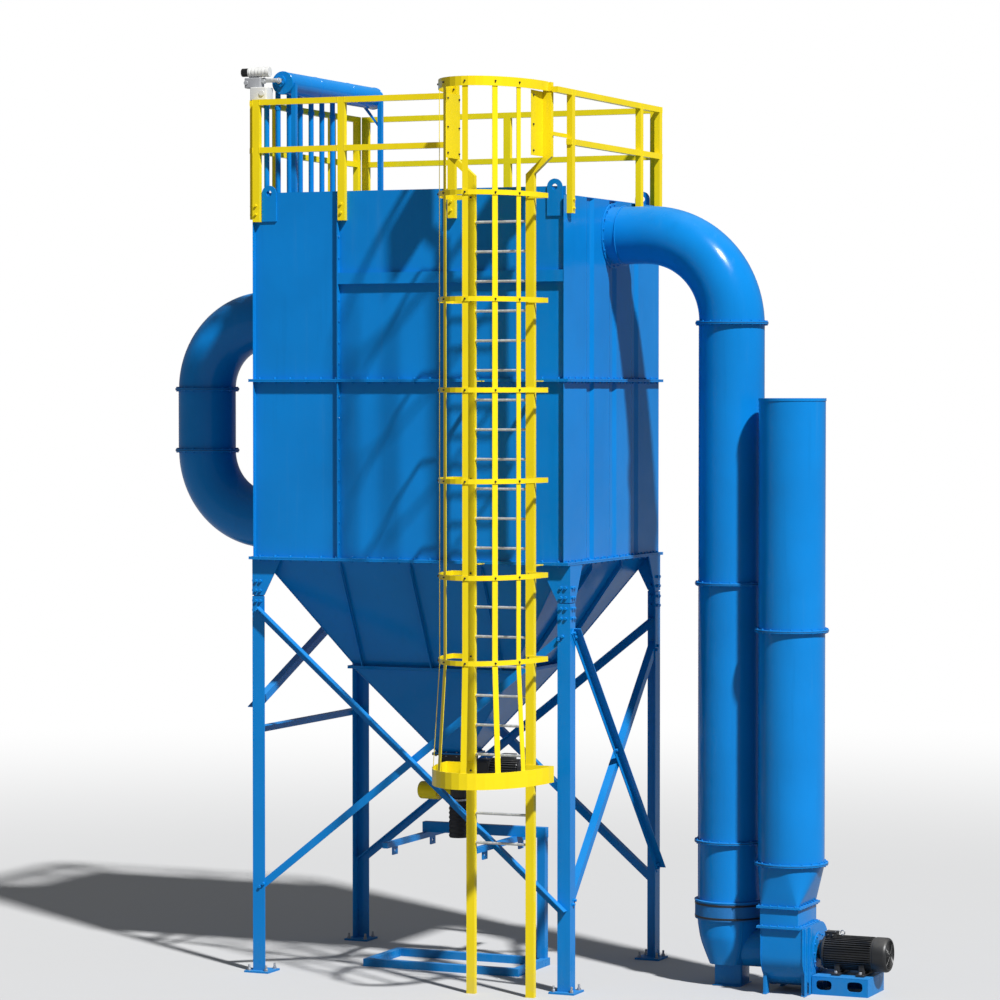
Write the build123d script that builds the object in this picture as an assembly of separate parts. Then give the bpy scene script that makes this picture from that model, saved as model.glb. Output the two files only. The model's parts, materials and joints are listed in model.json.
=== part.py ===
import os
from math import atan2, cos, degrees, pi, radians, sin

from build123d import *

os.makedirs("parts", exist_ok=True)

# Dust collector on four angle legs, millimetres, Z up.
# Every piece is drawn about the centre of the four legs at floor level, then
# moved together so that the origin is the middle of the underside of the whole.

# Legs
leg_x = 1810.0            # outer corner of a leg from the centre, along X
leg_y = 1285.0            # outer corner of a leg from the centre, along Y
leg_size = 140.0          # width of one leg flange
leg_wall = 12.0
base_plate_size = 280.0
base_plate_thick = 20.0
anchor_spacing = 200.0
anchor_hole = 24.0
leg_joint_z = 3985.0      # middle of the gap between leg and leg head
leg_joint_gap = 10.0
head_reach = 335.0        # width of a leg head at its top
splice_size = 115.0
splice_thick = 10.0
splice_length = 400.0

# Bracing angles
brace_size = 80.0
brace_thick = 8.0
packer_size = 90.0
brace_end_inset = 60.0    # brace end from the outer corner of the leg
front_falling = (3840.0, 820.0)
front_rising = (890.0, 3665.0)
side_falling = (3700.0, 970.0)
side_rising = (885.0, 3415.0)
strut_z = 2565.0
knee_low_z = 2770.0
knee_top_z = 3800.0

# Levels of the housing
flange_thick = 15.0       # one of the two flanges in a joint
joint_line = 3.0
hopper_flange_z = 4370.0  # underside of the hopper flange
mid_flange_z = 6235.0     # underside of the middle flange pair
roof_z = 8130.0           # top of the roof plate
rail_height = 1060.0      # top of the guard rail above the roof
rail_top_z = roof_z + rail_height
roof_thick = 8.0
toe_plate_z = 8215.0      # top of the plate along the front edge of the roof
ring_x = 1815.0
ring_y = 1360.0
ring_width = 120.0

# Housing walls
wall_x = 1765.0           # outer plane of the two side walls
wall_y = 1300.0           # outer plane of the front and back walls
wall_thick = 5.0
joint_proud = 50.0        # how far the joint flanges stand out of the front wall
joint_thick = 6.0
bay_joint_x = -780.0      # joint between the plain bay and the wide bay
groove_pitch = 633.0
groove_depth = 22.0
groove_floor = 70.0
groove_top = 210.0
ledge_z0 = 7250.0
ledge_z1 = 7368.0
ledge_depth = 90.0
lug_thick = 16.0
lug_width = 165.0
lug_places = [(-1590.0, -1), (1648.0, -1), (-1590.0, 1), (1590.0, 1)]
lug_low_z = 7915.0
lug_high_z = 8290.0
lug_hole = 62.0

# Hopper
hopper_top_x = 1705.0
hopper_top_y = 1240.0
hopper_band_z = 3200.0
hopper_band_thick = 32.0
hopper_mid_x = 910.0
hopper_mid_y = 660.0
hopper_low_z = 2290.0
hopper_low_half = 170.0
hopper_wall = 6.0
band_width = 60.0
rib_thick = 10.0
rib_depth = 60.0
rib_places_x = (-800.0, 0.0, 800.0)
rib_places_y = (-420.0, 420.0)

# Rotary valve and spout
valve_flange = 430.0
valve_flange_thick = 14.0
valve_height = 330.0
valve_body_radius = 158.0
valve_body_length = 340.0
valve_body_half = 130.0
valve_hub_radius = 110.0
valve_hub_length = 25.0
gearbox_length = 190.0
gearbox_size = 230.0
gearbox_corner = 40.0
gearbox_neck_length = 60.0
gearbox_neck_radius = 70.0
valve_motor_length = 500.0
valve_motor_radius = 120.0
valve_motor_ring = 14.0
valve_motor_ring_pitch = 110.0
terminal_box_length = 150.0
terminal_box_half = 60.0
terminal_box_rise = 60.0
spout_radius = 92.0
spout_wall = 4.0
spout_length = 190.0
spout_flange_width = 60.0
branch_z = 1862.0
branch_radius = 58.0
branch_cap_radius = 95.0
branch_cap_far = 455.0
branch_cap_near = 228.0
sleeve_wall = 6.0
sleeve_length = 430.0
sleeve_overlap = 45.0
sleeve_fold_count = 9
sleeve_fold_depth = 9.0

# Bag filling frame
bag_frame_x = 900.0
bag_frame_front = 490.0
bag_frame_back = 380.0
bag_tube = 80.0
bag_post_x = 830.0
bag_post_size = 90.0
bag_beam_z = 1370.0
bag_beam_height = 110.0
bag_beam_left = -560.0
bag_beam_right = 880.0
bag_foot_length = 110.0
bag_foot_height = 230.0
bag_gusset_thick = 12.0
bag_arm_x = 520.0
bag_arm_size = 60.0
bag_arm_front = 750.0
bag_arm_back = 900.0
bag_hook_places = (-500.0, 470.0)
bag_hook_thick = 16.0
bag_hook_half = 60.0
bag_hook_drop = 90.0
bag_hook_hole = 44.0

# Left return duct
left_duct_radius = 313.0
duct_wall = 4.0
left_duct_x = -3020.0
left_bend_radius = 750.0
left_low_flange_z = 5490.0
left_high_flange_z = 6160.0
duct_flange_width = 38.0
wall_collar_width = 22.0
duct_flange_thick = 14.0

# Right clean air duct
right_duct_x = 3084.0
right_stub_radius = 300.0
right_duct_radius = 340.0
right_bend_radius = 920.0
right_bend_z = 6840.0
right_joint_z = 4156.0
right_low_z = 1491.0
collar_high_z = 873.0
collar_low_z = 691.0

# Fan, motor and stack
fan_left = 3605.0
fan_width = 450.0
fan_right = fan_left + fan_width
fan_front = 570.0         # front of the scroll from the centre, towards -Y
fan_outlet_back = 10.0
fan_wall = 6.0
shaft_y = -35.0
shaft_z = 405.0
scroll_low = 40.0
box_slant = 220.0         # how far the left side of the inlet box leans in
fan_eye_radius = 190.0
fan_eye_collar = 22.0
shaft_hole_radius = 60.0
fan_foot_width = 40.0
fan_foot_length = 90.0
fan_foot_places = (-450.0, 90.0)
fan_stiffener_places = (-510.0, -370.0)
fan_stiffener_depth = 12.0
box_foot_length = 90.0
box_foot_width = 50.0
scroll_back = 290.0
scroll_top_z = 626.0
stack_x = 3836.0
stack_y = -280.0
stack_radius = 342.0
stack_wall = 5.0
stack_box_flange = 30.0
stack_box_gap = 4.0
stack_collar_z = 843.0
stack_round_z = 1235.0
stack_joint_z = 3656.0
stack_top_z = 6067.0
stiffener_width = 60.0
motor_gap = 70.0
motor_left = fan_right + motor_gap
motor_body_length = 580.0
motor_radius = 205.0
motor_fin_count = 40
motor_fin_height = 24.0
motor_fin_thick = 7.0
motor_nose_radius = 120.0
motor_foot_length = 90.0
motor_foot_half = 190.0
motor_foot_thick = 40.0
motor_foot_places = (120.0, 380.0)
cowl_length = 165.0
motor_base_gap = 15.0
motor_base_length = 595.0
motor_base_x0 = fan_right + motor_base_gap
motor_base_x1 = motor_base_x0 + motor_base_length
motor_base_half = 270.0
motor_base_top = 190.0
motor_base_wall = 10.0
base_slot_inset = 160.0
base_slot_half = 40.0
base_slot_z = 100.0
base_slot_radius = 30.0

# Air header on the roof
header_x = -1545.0
header_front = -1085.0
header_back = 1160.0
header_radius = 118.0
header_wall = 6.0
header_rise = 190.0       # middle of the header above the top rail
header_z = rail_top_z + header_rise
header_boss_x = -1565.0
header_boss_rise = 20.0
header_boss_radius = 60.0
header_boss_length = 30.0
blow_pipe_radius = 28.0
blow_pipe_x = -1640.0
blow_pipe_first = -1262.0
blow_pipe_pitch = 262.0
blow_pipe_count = 8
header_leg_size = 50.0
header_leg_x = -1435.0
header_leg_inset = 60.0
header_knee_drop = 320.0
header_knee_depth = 30.0

# Air inlet unit in front of the header
inlet_reach = 95.0        # from the end of the header to the middle of the unit
inlet_pipe_radius = 24.0
inlet_half_depth = 50.0
inlet_valve_x = (-1822.0, -1631.0)
inlet_body_x = (-1922.0, -1732.0)
inlet_body_drop = 75.0    # below and above the middle of the pipe
inlet_body_rise = 32.0
inlet_bowl_x = (-1888.0, -1643.0)
inlet_bowl_rise = 92.0
inlet_bowl_radius = 54.0
inlet_knob_x = -1968.0
inlet_knob_radius = 44.0

# Ladder and cage
ladder_x = 1190.0
ladder_y = -1620.0
ladder_half = 327.0
stile_width = 90.0
stile_depth = 60.0
stile_wall = 8.0
rung_radius = 14.0
rung_pitch = 300.0
rung_first_z = 1548.0
rung_count = 22
ladder_flare_z0 = 8320.0
ladder_flare_z1 = 8490.0
ladder_flare_half = 515.0
side_plate_thick = 5.0
side_plate_front = -1950.0
bracket_half = 30.0
bracket_thick = 10.0
cage_half = 520.0
cage_depth = 950.0
hoop_height = 50.0
hoop_thick = 8.0
hoop_levels = [3420.0, 4265.0, 5220.0, 6125.0, 7025.0, 8075.0]
top_band_drop = 45.0      # lower edge of the top band below the top of the rail
top_band_height = 95.0
top_band_lip = 5.0        # the band stands this far past the stiles and side plates
top_band_z0 = rail_top_z - top_band_drop
top_band_z1 = top_band_z0 + top_band_height
ladder_top_z = top_band_z1 - top_band_lip
side_plate_high = top_band_z0 - top_band_lip
hoop_lap = 8.0
bottom_band_z0 = 2200.0
bottom_band_z1 = 2365.0
cage_flare = 65.0         # how far the bottom band stands outside the hoops
cage_sides = 24
strap_width = 60.0
strap_thick = 6.0
strap_sides = [5, 8, 12, 16, 19]

# Guard rails
rail_size = 60.0
post_size = 80.0
post_low_z = 7910.0
side_post_low_z = 7940.0
gate_left_x = 560.0
front_post_x = -730.0
right_post_places = (-1235.0, 687.0)
left_post_places = (-737.0, 611.0)
side_rail_inset = 10.0
tie_z0 = 8700.0
tie_z1 = 8740.0
tie_thick = 15.0


def block(x0, x1, y0, y1, z0, z1):
    centre = ((x0 + x1) / 2, (y0 + y1) / 2, (z0 + z1) / 2)
    return Pos(*centre) * Box(abs(x1 - x0), abs(y1 - y0), abs(z1 - z0))


def rod(x, y, z0, z1, radius):
    return Pos(x, y, (z0 + z1) / 2) * Cylinder(radius, z1 - z0)


def rod_x(x0, x1, y, z, radius):
    return Pos((x0 + x1) / 2, y, z) * Rot(0, 90, 0) * Cylinder(radius, x1 - x0)


def rod_y(x, y0, y1, z, radius):
    return Pos(x, (y0 + y1) / 2, z) * Rot(90, 0, 0) * Cylinder(radius, y1 - y0)


def prism_xy(points, z0, z1):
    outline = make_face(Polyline(*[(x, y, z0) for x, y in points], close=True))
    return extrude(outline, z1 - z0, dir=(0, 0, 1))


def prism_xz(points, y0, y1):
    outline = make_face(Polyline(*[(x, y0, z) for x, z in points], close=True))
    return extrude(outline, y1 - y0, dir=(0, 1, 0))


def prism_yz(points, x0, x1):
    outline = make_face(Polyline(*[(x0, y, z) for y, z in points], close=True))
    return extrude(outline, x1 - x0, dir=(1, 0, 0))


def rectangle_ring(x_out, y_out, x_in, y_in, z0, z1):
    outer = block(-x_out, x_out, -y_out, y_out, z0, z1)
    return outer - block(-x_in, x_in, -y_in, y_in, z0 - 1, z1 + 1)


def flange_ring(x, y, z0, z1, inner, outer):
    return rod(x, y, z0, z1, outer) - rod(x, y, z0 - 1, z1 + 1, inner)


def pipe(x, y, z0, z1, outer, wall):
    return rod(x, y, z0, z1, outer) - rod(x, y, z0 - 1, z1 + 1, outer - wall)


def frustum(x0, y0, z0, x1, y1, z1, shift=(0.0, 0.0)):
    low = Pos(shift[0], shift[1], z0) * Rectangle(2 * x0, 2 * y0)
    high = Pos(shift[0], shift[1], z1) * Rectangle(2 * x1, 2 * y1)
    return loft([low, high])


pieces = {}


def add(name, items):
    solids = []
    for item in items if isinstance(items, (list, tuple)) else [items]:
        solids.extend(item.solids())
    pieces[name] = solids


corners = [(-1, -1), (1, -1), (1, 1), (-1, 1)]

# Leg columns with base plates, and leg heads with the splice angles inside them
columns = []
heads = []
head_low_z = leg_joint_z + leg_joint_gap / 2
column_top_z = leg_joint_z - leg_joint_gap / 2
for sx, sy in corners:
    cx = sx * leg_x
    cy = sy * leg_y
    flange_a = block(cx, cx - sx * leg_size, cy, cy - sy * leg_wall, base_plate_thick, column_top_z)
    flange_b = block(cx, cx - sx * leg_wall, cy, cy - sy * leg_size, base_plate_thick, column_top_z)
    column = flange_a + flange_b
    px = cx - sx * leg_size / 2
    py = cy - sy * leg_size / 2
    half = base_plate_size / 2
    plate = block(px - half, px + half, py - half, py + half, 0, base_plate_thick)
    for ax in (-1, 1):
        for ay in (-1, 1):
            hole_x = px + ax * anchor_spacing / 2
            hole_y = py + ay * anchor_spacing / 2
            plate -= rod(hole_x, hole_y, -1, base_plate_thick + 1, anchor_hole / 2)
    columns.append(column + plate)
    face_points = [
        (cx, head_low_z),
        (cx, hopper_flange_z),
        (cx - sx * head_reach, hopper_flange_z),
        (cx - sx * leg_size, head_low_z),
    ]
    side_points = [
        (cy, head_low_z),
        (cy, hopper_flange_z),
        (cy - sy * head_reach, hopper_flange_z),
        (cy - sy * leg_size, head_low_z),
    ]
    face_plate = prism_xz(face_points, min(cy, cy - sy * leg_wall), max(cy, cy - sy * leg_wall))
    side_plate = prism_yz(side_points, min(cx, cx - sx * leg_wall), max(cx, cx - sx * leg_wall))
    ix = cx - sx * leg_wall
    iy = cy - sy * leg_wall
    low = leg_joint_z - splice_length / 2
    high = leg_joint_z + splice_length / 2
    splice_a = block(ix, ix - sx * splice_size, iy, iy - sy * splice_thick, low, high)
    splice_b = block(ix, ix - sx * splice_thick, iy, iy - sy * splice_size, low, high)
    heads.append(face_plate + side_plate + splice_a + splice_b)
add("leg_columns", columns)
add("leg_heads", heads)


# Bracing: an angle from point a to point b in a vertical plane.
# The flat flange lies in the plane, the second flange stands out at its upper edge.
def brace_angle(a, b, flat_from, flat_to, stand_to, axis):
    (u0, z0), (u1, z1) = a, b
    length = ((u1 - u0) ** 2 + (z1 - z0) ** 2) ** 0.5
    du = (u1 - u0) / length
    dz = (z1 - z0) / length
    nu, nz = -dz, du
    if nz < 0:
        nu, nz = -nu, -nz
    half = brace_size / 2
    flat = [
        (u0 - nu * half, z0 - nz * half),
        (u1 - nu * half, z1 - nz * half),
        (u1 + nu * half, z1 + nz * half),
        (u0 + nu * half, z0 + nz * half),
    ]
    inner = half - brace_thick
    stand = [
        (u0 + nu * inner, z0 + nz * inner),
        (u1 + nu * inner, z1 + nz * inner),
        (u1 + nu * half, z1 + nz * half),
        (u0 + nu * half, z0 + nz * half),
    ]
    make = prism_xz if axis == "xz" else prism_yz
    first = make(flat, min(flat_from, flat_to), max(flat_from, flat_to))
    second = make(stand, min(flat_from, stand_to), max(flat_from, stand_to))
    return first + second


def brace_pair(axis, plane, sign, reach, falling_z, rising_z):
    # The falling brace lies on the outside of the leg flanges, the rising one inside.
    # A square packer on the falling brace fills the gap where the two cross.
    outer_face = plane
    inner_face = plane - sign * leg_wall
    falling = brace_angle(
        (-reach, falling_z[0]), (reach, falling_z[1]),
        outer_face, outer_face + sign * brace_thick, outer_face + sign * brace_size, axis)
    rising = brace_angle(
        (-reach, rising_z[0]), (reach, rising_z[1]),
        inner_face, inner_face - sign * brace_thick, inner_face - sign * brace_size, axis)
    fall = (falling_z[1] - falling_z[0]) / (2 * reach)
    rise = (rising_z[1] - rising_z[0]) / (2 * reach)
    mid_u = (sum(rising_z) / 2 - sum(falling_z) / 2) / (fall - rise)
    mid_z = sum(falling_z) / 2 + fall * mid_u
    half = packer_size / 2
    square = [
        (mid_u, mid_z - half), (mid_u + half, mid_z),
        (mid_u, mid_z + half), (mid_u - half, mid_z),
    ]
    make = prism_xz if axis == "xz" else prism_yz
    packer = make(square, min(outer_face, inner_face), max(outer_face, inner_face))
    return [falling + packer, rising]


reach_x = leg_x - brace_end_inset
reach_y = leg_y - brace_end_inset
crossed = brace_pair("xz", -leg_y, -1, reach_x, front_falling, front_rising)
crossed += brace_pair("xz", leg_y, 1, reach_x, front_falling, front_rising)
crossed += brace_pair("yz", leg_x, 1, reach_y, side_falling, side_rising)
add("crossed_braces", crossed)
strut = brace_angle(
    (-reach_y, strut_z), (reach_y, strut_z),
    -leg_x + leg_wall, -leg_x + leg_wall + brace_thick, -leg_x + leg_wall + brace_size, "yz")
knee = brace_angle(
    (-reach_y, knee_low_z), (reach_y, knee_top_z),
    -leg_x, -leg_x - brace_thick, -leg_x - brace_size, "yz")
add("left_braces", [strut, knee])

# Flanges
inner_ring_x = ring_x - ring_width
inner_ring_y = ring_y - ring_width
housing_low_z = hopper_flange_z + flange_thick
wall_low_z = housing_low_z + flange_thick
upper_low_z = mid_flange_z + 2 * flange_thick


def flange_pair(z0):
    # Two flanges bolted together, shown as one ring with the joint line cut round it
    middle = z0 + flange_thick
    ring = rectangle_ring(ring_x, ring_y, inner_ring_x, inner_ring_y, z0, z0 + 2 * flange_thick)
    return ring - rectangle_ring(ring_x + 5, ring_y + 5, ring_x - joint_line, ring_y - joint_line,
                                 middle - joint_line / 2, middle + joint_line / 2)


add("hopper_flange", flange_pair(hopper_flange_z))
add("mid_flange", flange_pair(mid_flange_z))


# Folded side wall: shallow grooves across the wall, followed by both faces of the sheet
def groove_path(centres, start, end):
    path = [(start, 0.0)]
    for c in centres:
        path.append((c - groove_top / 2, 0.0))
        path.append((c - groove_floor / 2, -groove_depth))
        path.append((c + groove_floor / 2, -groove_depth))
        path.append((c + groove_top / 2, 0.0))
    path.append((end, 0.0))
    return path


groove_centres = [-2 * groove_pitch + groove_pitch, 0.0, groove_pitch]


def side_wall(sign, z0, z1):
    path = groove_path(groove_centres, -wall_y - joint_proud, wall_y + joint_proud)
    outer = [(sign * (wall_x + depth), y) for y, depth in path]
    inner = [(sign * (wall_x - wall_thick + depth), y) for y, depth in reversed(path)]
    return prism_xy(outer + inner, z0, z1)


def joint_flange(x, sign, z0, z1):
    return block(x - joint_thick, x + joint_thick, sign * wall_y, sign * (wall_y + joint_proud), z0, z1)


def end_wall(sign, z0, z1, with_ledge):
    inner_x = wall_x - wall_thick
    face = block(-inner_x, inner_x, sign * wall_y, sign * (wall_y - wall_thick), z0, z1)
    wall = face + joint_flange(bay_joint_x * (-sign), sign, z0, z1)
    if with_ledge:
        x0 = bay_joint_x + joint_thick
        ledge = prism_yz([
            (-wall_y, ledge_z0),
            (-wall_y - ledge_depth * 0.5, ledge_z0),
            (-wall_y - ledge_depth * 0.5, ledge_z1 - 12),
            (-wall_y - ledge_depth * 0.5, ledge_z1),
            (-wall_y, ledge_z1),
        ], x0, inner_x)
        wall += ledge
    return wall


upper_high_z = roof_z - roof_thick
add("lower_right_wall", side_wall(1, wall_low_z, mid_flange_z))
add("lower_left_wall", side_wall(-1, wall_low_z, mid_flange_z))
add("lower_front_wall", end_wall(-1, wall_low_z, mid_flange_z, False))
add("lower_back_wall", end_wall(1, wall_low_z, mid_flange_z, False))
right_upper = side_wall(1, upper_low_z, upper_high_z)
left_upper = side_wall(-1, upper_low_z, upper_high_z)
right_stub_z = right_bend_z + right_bend_radius
left_high_z = left_high_flange_z + left_bend_radius
left_low_z = left_low_flange_z - left_bend_radius
add("upper_right_wall", right_upper)
add("upper_left_wall", left_upper)
add("upper_front_wall", end_wall(-1, upper_low_z, upper_high_z, True))
add("upper_back_wall", end_wall(1, upper_low_z, upper_high_z, False))

# Roof plate and the plate along its front edge
roof = block(-wall_x, wall_x, -wall_y, wall_y, upper_high_z, roof_z)
toe = block(-wall_x, wall_x, -wall_y, -wall_y + roof_thick, roof_z, toe_plate_z)
add("roof", roof + toe)


# Lifting lugs: upright plates on the front and back walls, rounded head with a hole
def lug(x, wall_face, sign):
    radius = lug_width / 2
    centre_z = lug_high_z - radius
    y0 = min(wall_face, wall_face + sign * lug_thick)
    y1 = max(wall_face, wall_face + sign * lug_thick)
    plate = block(x - radius, x + radius, y0, y1, lug_low_z, centre_z)
    plate += rod_y(x, y0, y1, centre_z, radius)
    return plate - rod_y(x, y0 - 1, y1 + 1, centre_z, lug_hole / 2)


add("lifting_lugs", [lug(x, sign * wall_y, sign) for x, sign in lug_places])

# Hopper
band_high_z = hopper_band_z + hopper_band_thick
slope_x = (hopper_top_x - hopper_mid_x) / (hopper_flange_z - band_high_z)
slope_y = (hopper_top_y - hopper_mid_y) / (hopper_flange_z - band_high_z)
t = hopper_wall
upper_outer = frustum(
    hopper_mid_x, hopper_mid_y, band_high_z, hopper_top_x, hopper_top_y, hopper_flange_z)
upper_inner = frustum(
    hopper_mid_x - t - slope_x, hopper_mid_y - t - slope_y, band_high_z - 1,
    hopper_top_x - t + slope_x, hopper_top_y - t + slope_y, hopper_flange_z + 1)
upper_hopper = upper_outer - upper_inner


def rib_profile(top, mid):
    return [
        (mid - t / 2, band_high_z),
        (mid + rib_depth, band_high_z),
        (top, hopper_flange_z - rib_depth / ((top - mid) / (hopper_flange_z - band_high_z))),
        (top, hopper_flange_z),
        (top - t / 2, hopper_flange_z),
    ]


for x in rib_places_x:
    for sign in (-1, 1):
        points = [(sign * v, z) for v, z in rib_profile(hopper_top_y, hopper_mid_y)]
        upper_hopper += prism_yz(points, x - rib_thick / 2, x + rib_thick / 2)
for y in rib_places_y:
    for sign in (-1, 1):
        points = [(sign * v, z) for v, z in rib_profile(hopper_top_x, hopper_mid_x)]
        upper_hopper += prism_xz(points, y - rib_thick / 2, y + rib_thick / 2)
add("upper_hopper", upper_hopper)
add("hopper_band", rectangle_ring(
    hopper_mid_x + band_width, hopper_mid_y + band_width,
    hopper_mid_x - t - 4, hopper_mid_y - t - 4, hopper_band_z, band_high_z))
low_slope_x = (hopper_mid_x - hopper_low_half) / (hopper_band_z - hopper_low_z)
low_slope_y = (hopper_mid_y - hopper_low_half) / (hopper_band_z - hopper_low_z)
lower_outer = frustum(
    hopper_low_half, hopper_low_half, hopper_low_z, hopper_mid_x, hopper_mid_y, hopper_band_z)
lower_inner = frustum(
    hopper_low_half - t - low_slope_x, hopper_low_half - t - low_slope_y, hopper_low_z - 1,
    hopper_mid_x - t + low_slope_x, hopper_mid_y - t + low_slope_y, hopper_band_z + 1)
lower_hopper = lower_outer - lower_inner
outlet_ring = block(-valve_flange / 2, valve_flange / 2, -valve_flange / 2, valve_flange / 2,
                    hopper_low_z - valve_flange_thick, hopper_low_z)
bore = hopper_low_half - t
outlet_ring -= block(-bore, bore, -bore, bore, hopper_low_z - 50, hopper_low_z + 50)
add("lower_hopper", lower_hopper + outlet_ring)

# Rotary valve
valve_top = hopper_low_z - valve_flange_thick
valve_bottom = valve_top - valve_height
valve_mid = (valve_top + valve_bottom) / 2
half_flange = valve_flange / 2
valve = block(-half_flange, half_flange, -half_flange, half_flange,
              valve_top - valve_flange_thick, valve_top)
valve += block(-half_flange, half_flange, -half_flange, half_flange,
               valve_bottom, valve_bottom + valve_flange_thick)
valve_half = valve_body_length / 2
valve += block(-valve_half, valve_half, -valve_body_half, valve_body_half,
               valve_bottom + 1, valve_top - 1)
valve += rod_x(-valve_half, valve_half, 0, valve_mid, valve_body_radius)
gear_x0 = valve_half + valve_hub_length
valve += rod_x(-gear_x0, gear_x0, 0, valve_mid, valve_hub_radius)
gear_x1 = gear_x0 + gearbox_length
gear_half = gearbox_size / 2
gearbox = block(gear_x0 + gearbox_neck_length, gear_x1, -gear_half, gear_half,
                valve_mid - gear_half, valve_mid + gear_half)
gearbox = fillet(gearbox.edges().filter_by(Axis.X), gearbox_corner)
gearbox += rod_x(gear_x0, gear_x0 + gearbox_neck_length + 1, 0, valve_mid, gearbox_neck_radius)
add("valve_gearbox", gearbox)
motor_x1 = gear_x1 + valve_motor_length
valve_motor = rod_x(gear_x1, motor_x1, 0, valve_mid, valve_motor_radius)
for k in range(3):
    at_x = gear_x1 + valve_motor_length * 0.14 + k * valve_motor_ring_pitch
    valve_motor += rod_x(at_x, at_x + valve_motor_ring, 0, valve_mid, valve_motor_radius + 10)
terminal_x = gear_x1 + valve_motor_length * 0.24
valve_motor += block(terminal_x, terminal_x + terminal_box_length, -terminal_box_half, terminal_box_half,
                     valve_mid, valve_mid + valve_motor_radius + terminal_box_rise)
add("valve_motor", valve_motor)
spout_low = valve_bottom - spout_length
spout = pipe(0, 0, spout_low, valve_bottom, spout_radius, spout_wall)
spout += flange_ring(0, 0, valve_bottom - 12, valve_bottom, spout_radius - 1,
                     spout_radius + spout_flange_width)
add("rotary_valve", valve + spout)
branch = rod_x(-branch_cap_far, -branch_cap_near, 0, branch_z, branch_cap_radius)
branch = fillet(branch.edges().filter_by(GeomType.CIRCLE).sort_by(Axis.X)[0], branch_cap_radius / 3)
branch += rod_x(-branch_cap_near - 1, -spout_radius / 2, 0, branch_z, branch_radius)
branch -= rod(0, 0, spout_low, valve_bottom, spout_radius)
add("spout_branch", branch)
sleeve_top = spout_low + sleeve_overlap
sleeve_in = spout_radius
fold = sleeve_length / sleeve_fold_count
outer_line = []
inner_line = []
for k in range(2 * sleeve_fold_count + 1):
    z = sleeve_top - k * fold / 2
    grow = sleeve_fold_depth if k % 2 and k * fold / 2 > sleeve_overlap else 0.0
    outer_line.append((sleeve_in + sleeve_wall + grow, z))
    inner_line.append((sleeve_in + grow, z))
outline = outer_line + list(reversed(inner_line))
sleeve_face = make_face(Polyline(*[(r, 0, z) for r, z in outline], close=True))
add("discharge_sleeve", revolve(sleeve_face, Axis.Z))


# Bag filling frame
base_y0 = -bag_frame_front
base_y1 = bag_frame_back
base = block(-bag_frame_x, bag_frame_x, base_y0, base_y1, 0, bag_tube)
base -= block(-bag_frame_x + bag_tube, bag_frame_x - bag_tube,
              base_y0 + bag_tube, base_y1 - bag_tube, -1, bag_tube + 1)
post_y1 = bag_frame_back
post_y0 = post_y1 - bag_post_size
post_x0 = bag_post_x - bag_post_size / 2
post_x1 = bag_post_x + bag_post_size / 2
post_y = (post_y0 + post_y1) / 2
bag_frame = base + block(post_x0, post_x1, post_y0, post_y1, bag_tube, bag_beam_z)
bag_frame += prism_xz([
    (post_x0, bag_tube),
    (post_x0 - bag_foot_length, bag_tube),
    (post_x0, bag_tube + bag_foot_height),
], post_y - bag_gusset_thick / 2, post_y + bag_gusset_thick / 2)
bag_frame += block(bag_beam_left, bag_beam_right, post_y0, post_y1,
                   bag_beam_z, bag_beam_z + bag_beam_height)
arm_low_z = bag_beam_z - bag_arm_size
for sign in (-1, 1):
    x = sign * bag_arm_x
    arm = block(x - bag_arm_size / 2, x + bag_arm_size / 2, -bag_arm_front, bag_arm_back,
                arm_low_z, bag_beam_z)
    for y in bag_hook_places:
        hook = block(x - bag_hook_thick / 2, x + bag_hook_thick / 2, y - bag_hook_half, y + bag_hook_half,
                     arm_low_z - bag_hook_drop, arm_low_z)
        hook -= rod_x(x - bag_hook_thick, x + bag_hook_thick, y,
                      arm_low_z - bag_hook_drop / 2, bag_hook_hole / 2)
        arm += hook
    bag_frame += arm
add("bag_frame", bag_frame)


# Ducts
def elbow(bend_centre, bend_radius, r_start, r_end, wall, angle0, angle1, y):
    # Round sections on a quarter circle in the XZ plane, lofted outside and inside
    steps = 7
    cx, cz = bend_centre

    def solid_of(shrink):
        sections = []
        for k in range(steps):
            f = k / (steps - 1)
            a = radians(angle0 + (angle1 - angle0) * f)
            r = r_start + (r_end - r_start) * f - shrink
            origin = (cx + bend_radius * cos(a), y, cz + bend_radius * sin(a))
            tangent = (-sin(a), 0, cos(a))
            plane = Plane(origin=origin, x_dir=(0, 1, 0), z_dir=tangent)
            sections.append(plane * Circle(r))
        return loft(sections)

    return solid_of(0.0) - solid_of(wall)


def ring_x_axis(x0, x1, y, z, inner, outer):
    return rod_x(x0, x1, y, z, outer) - rod_x(x0 - 1, x1 + 1, y, z, inner)


def pipe_x(x0, x1, y, z, outer, wall):
    return rod_x(x0, x1, y, z, outer) - rod_x(x0 - 1, x1 + 1, y, z, outer - wall)


fw = duct_flange_width
ft = duct_flange_thick
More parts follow.
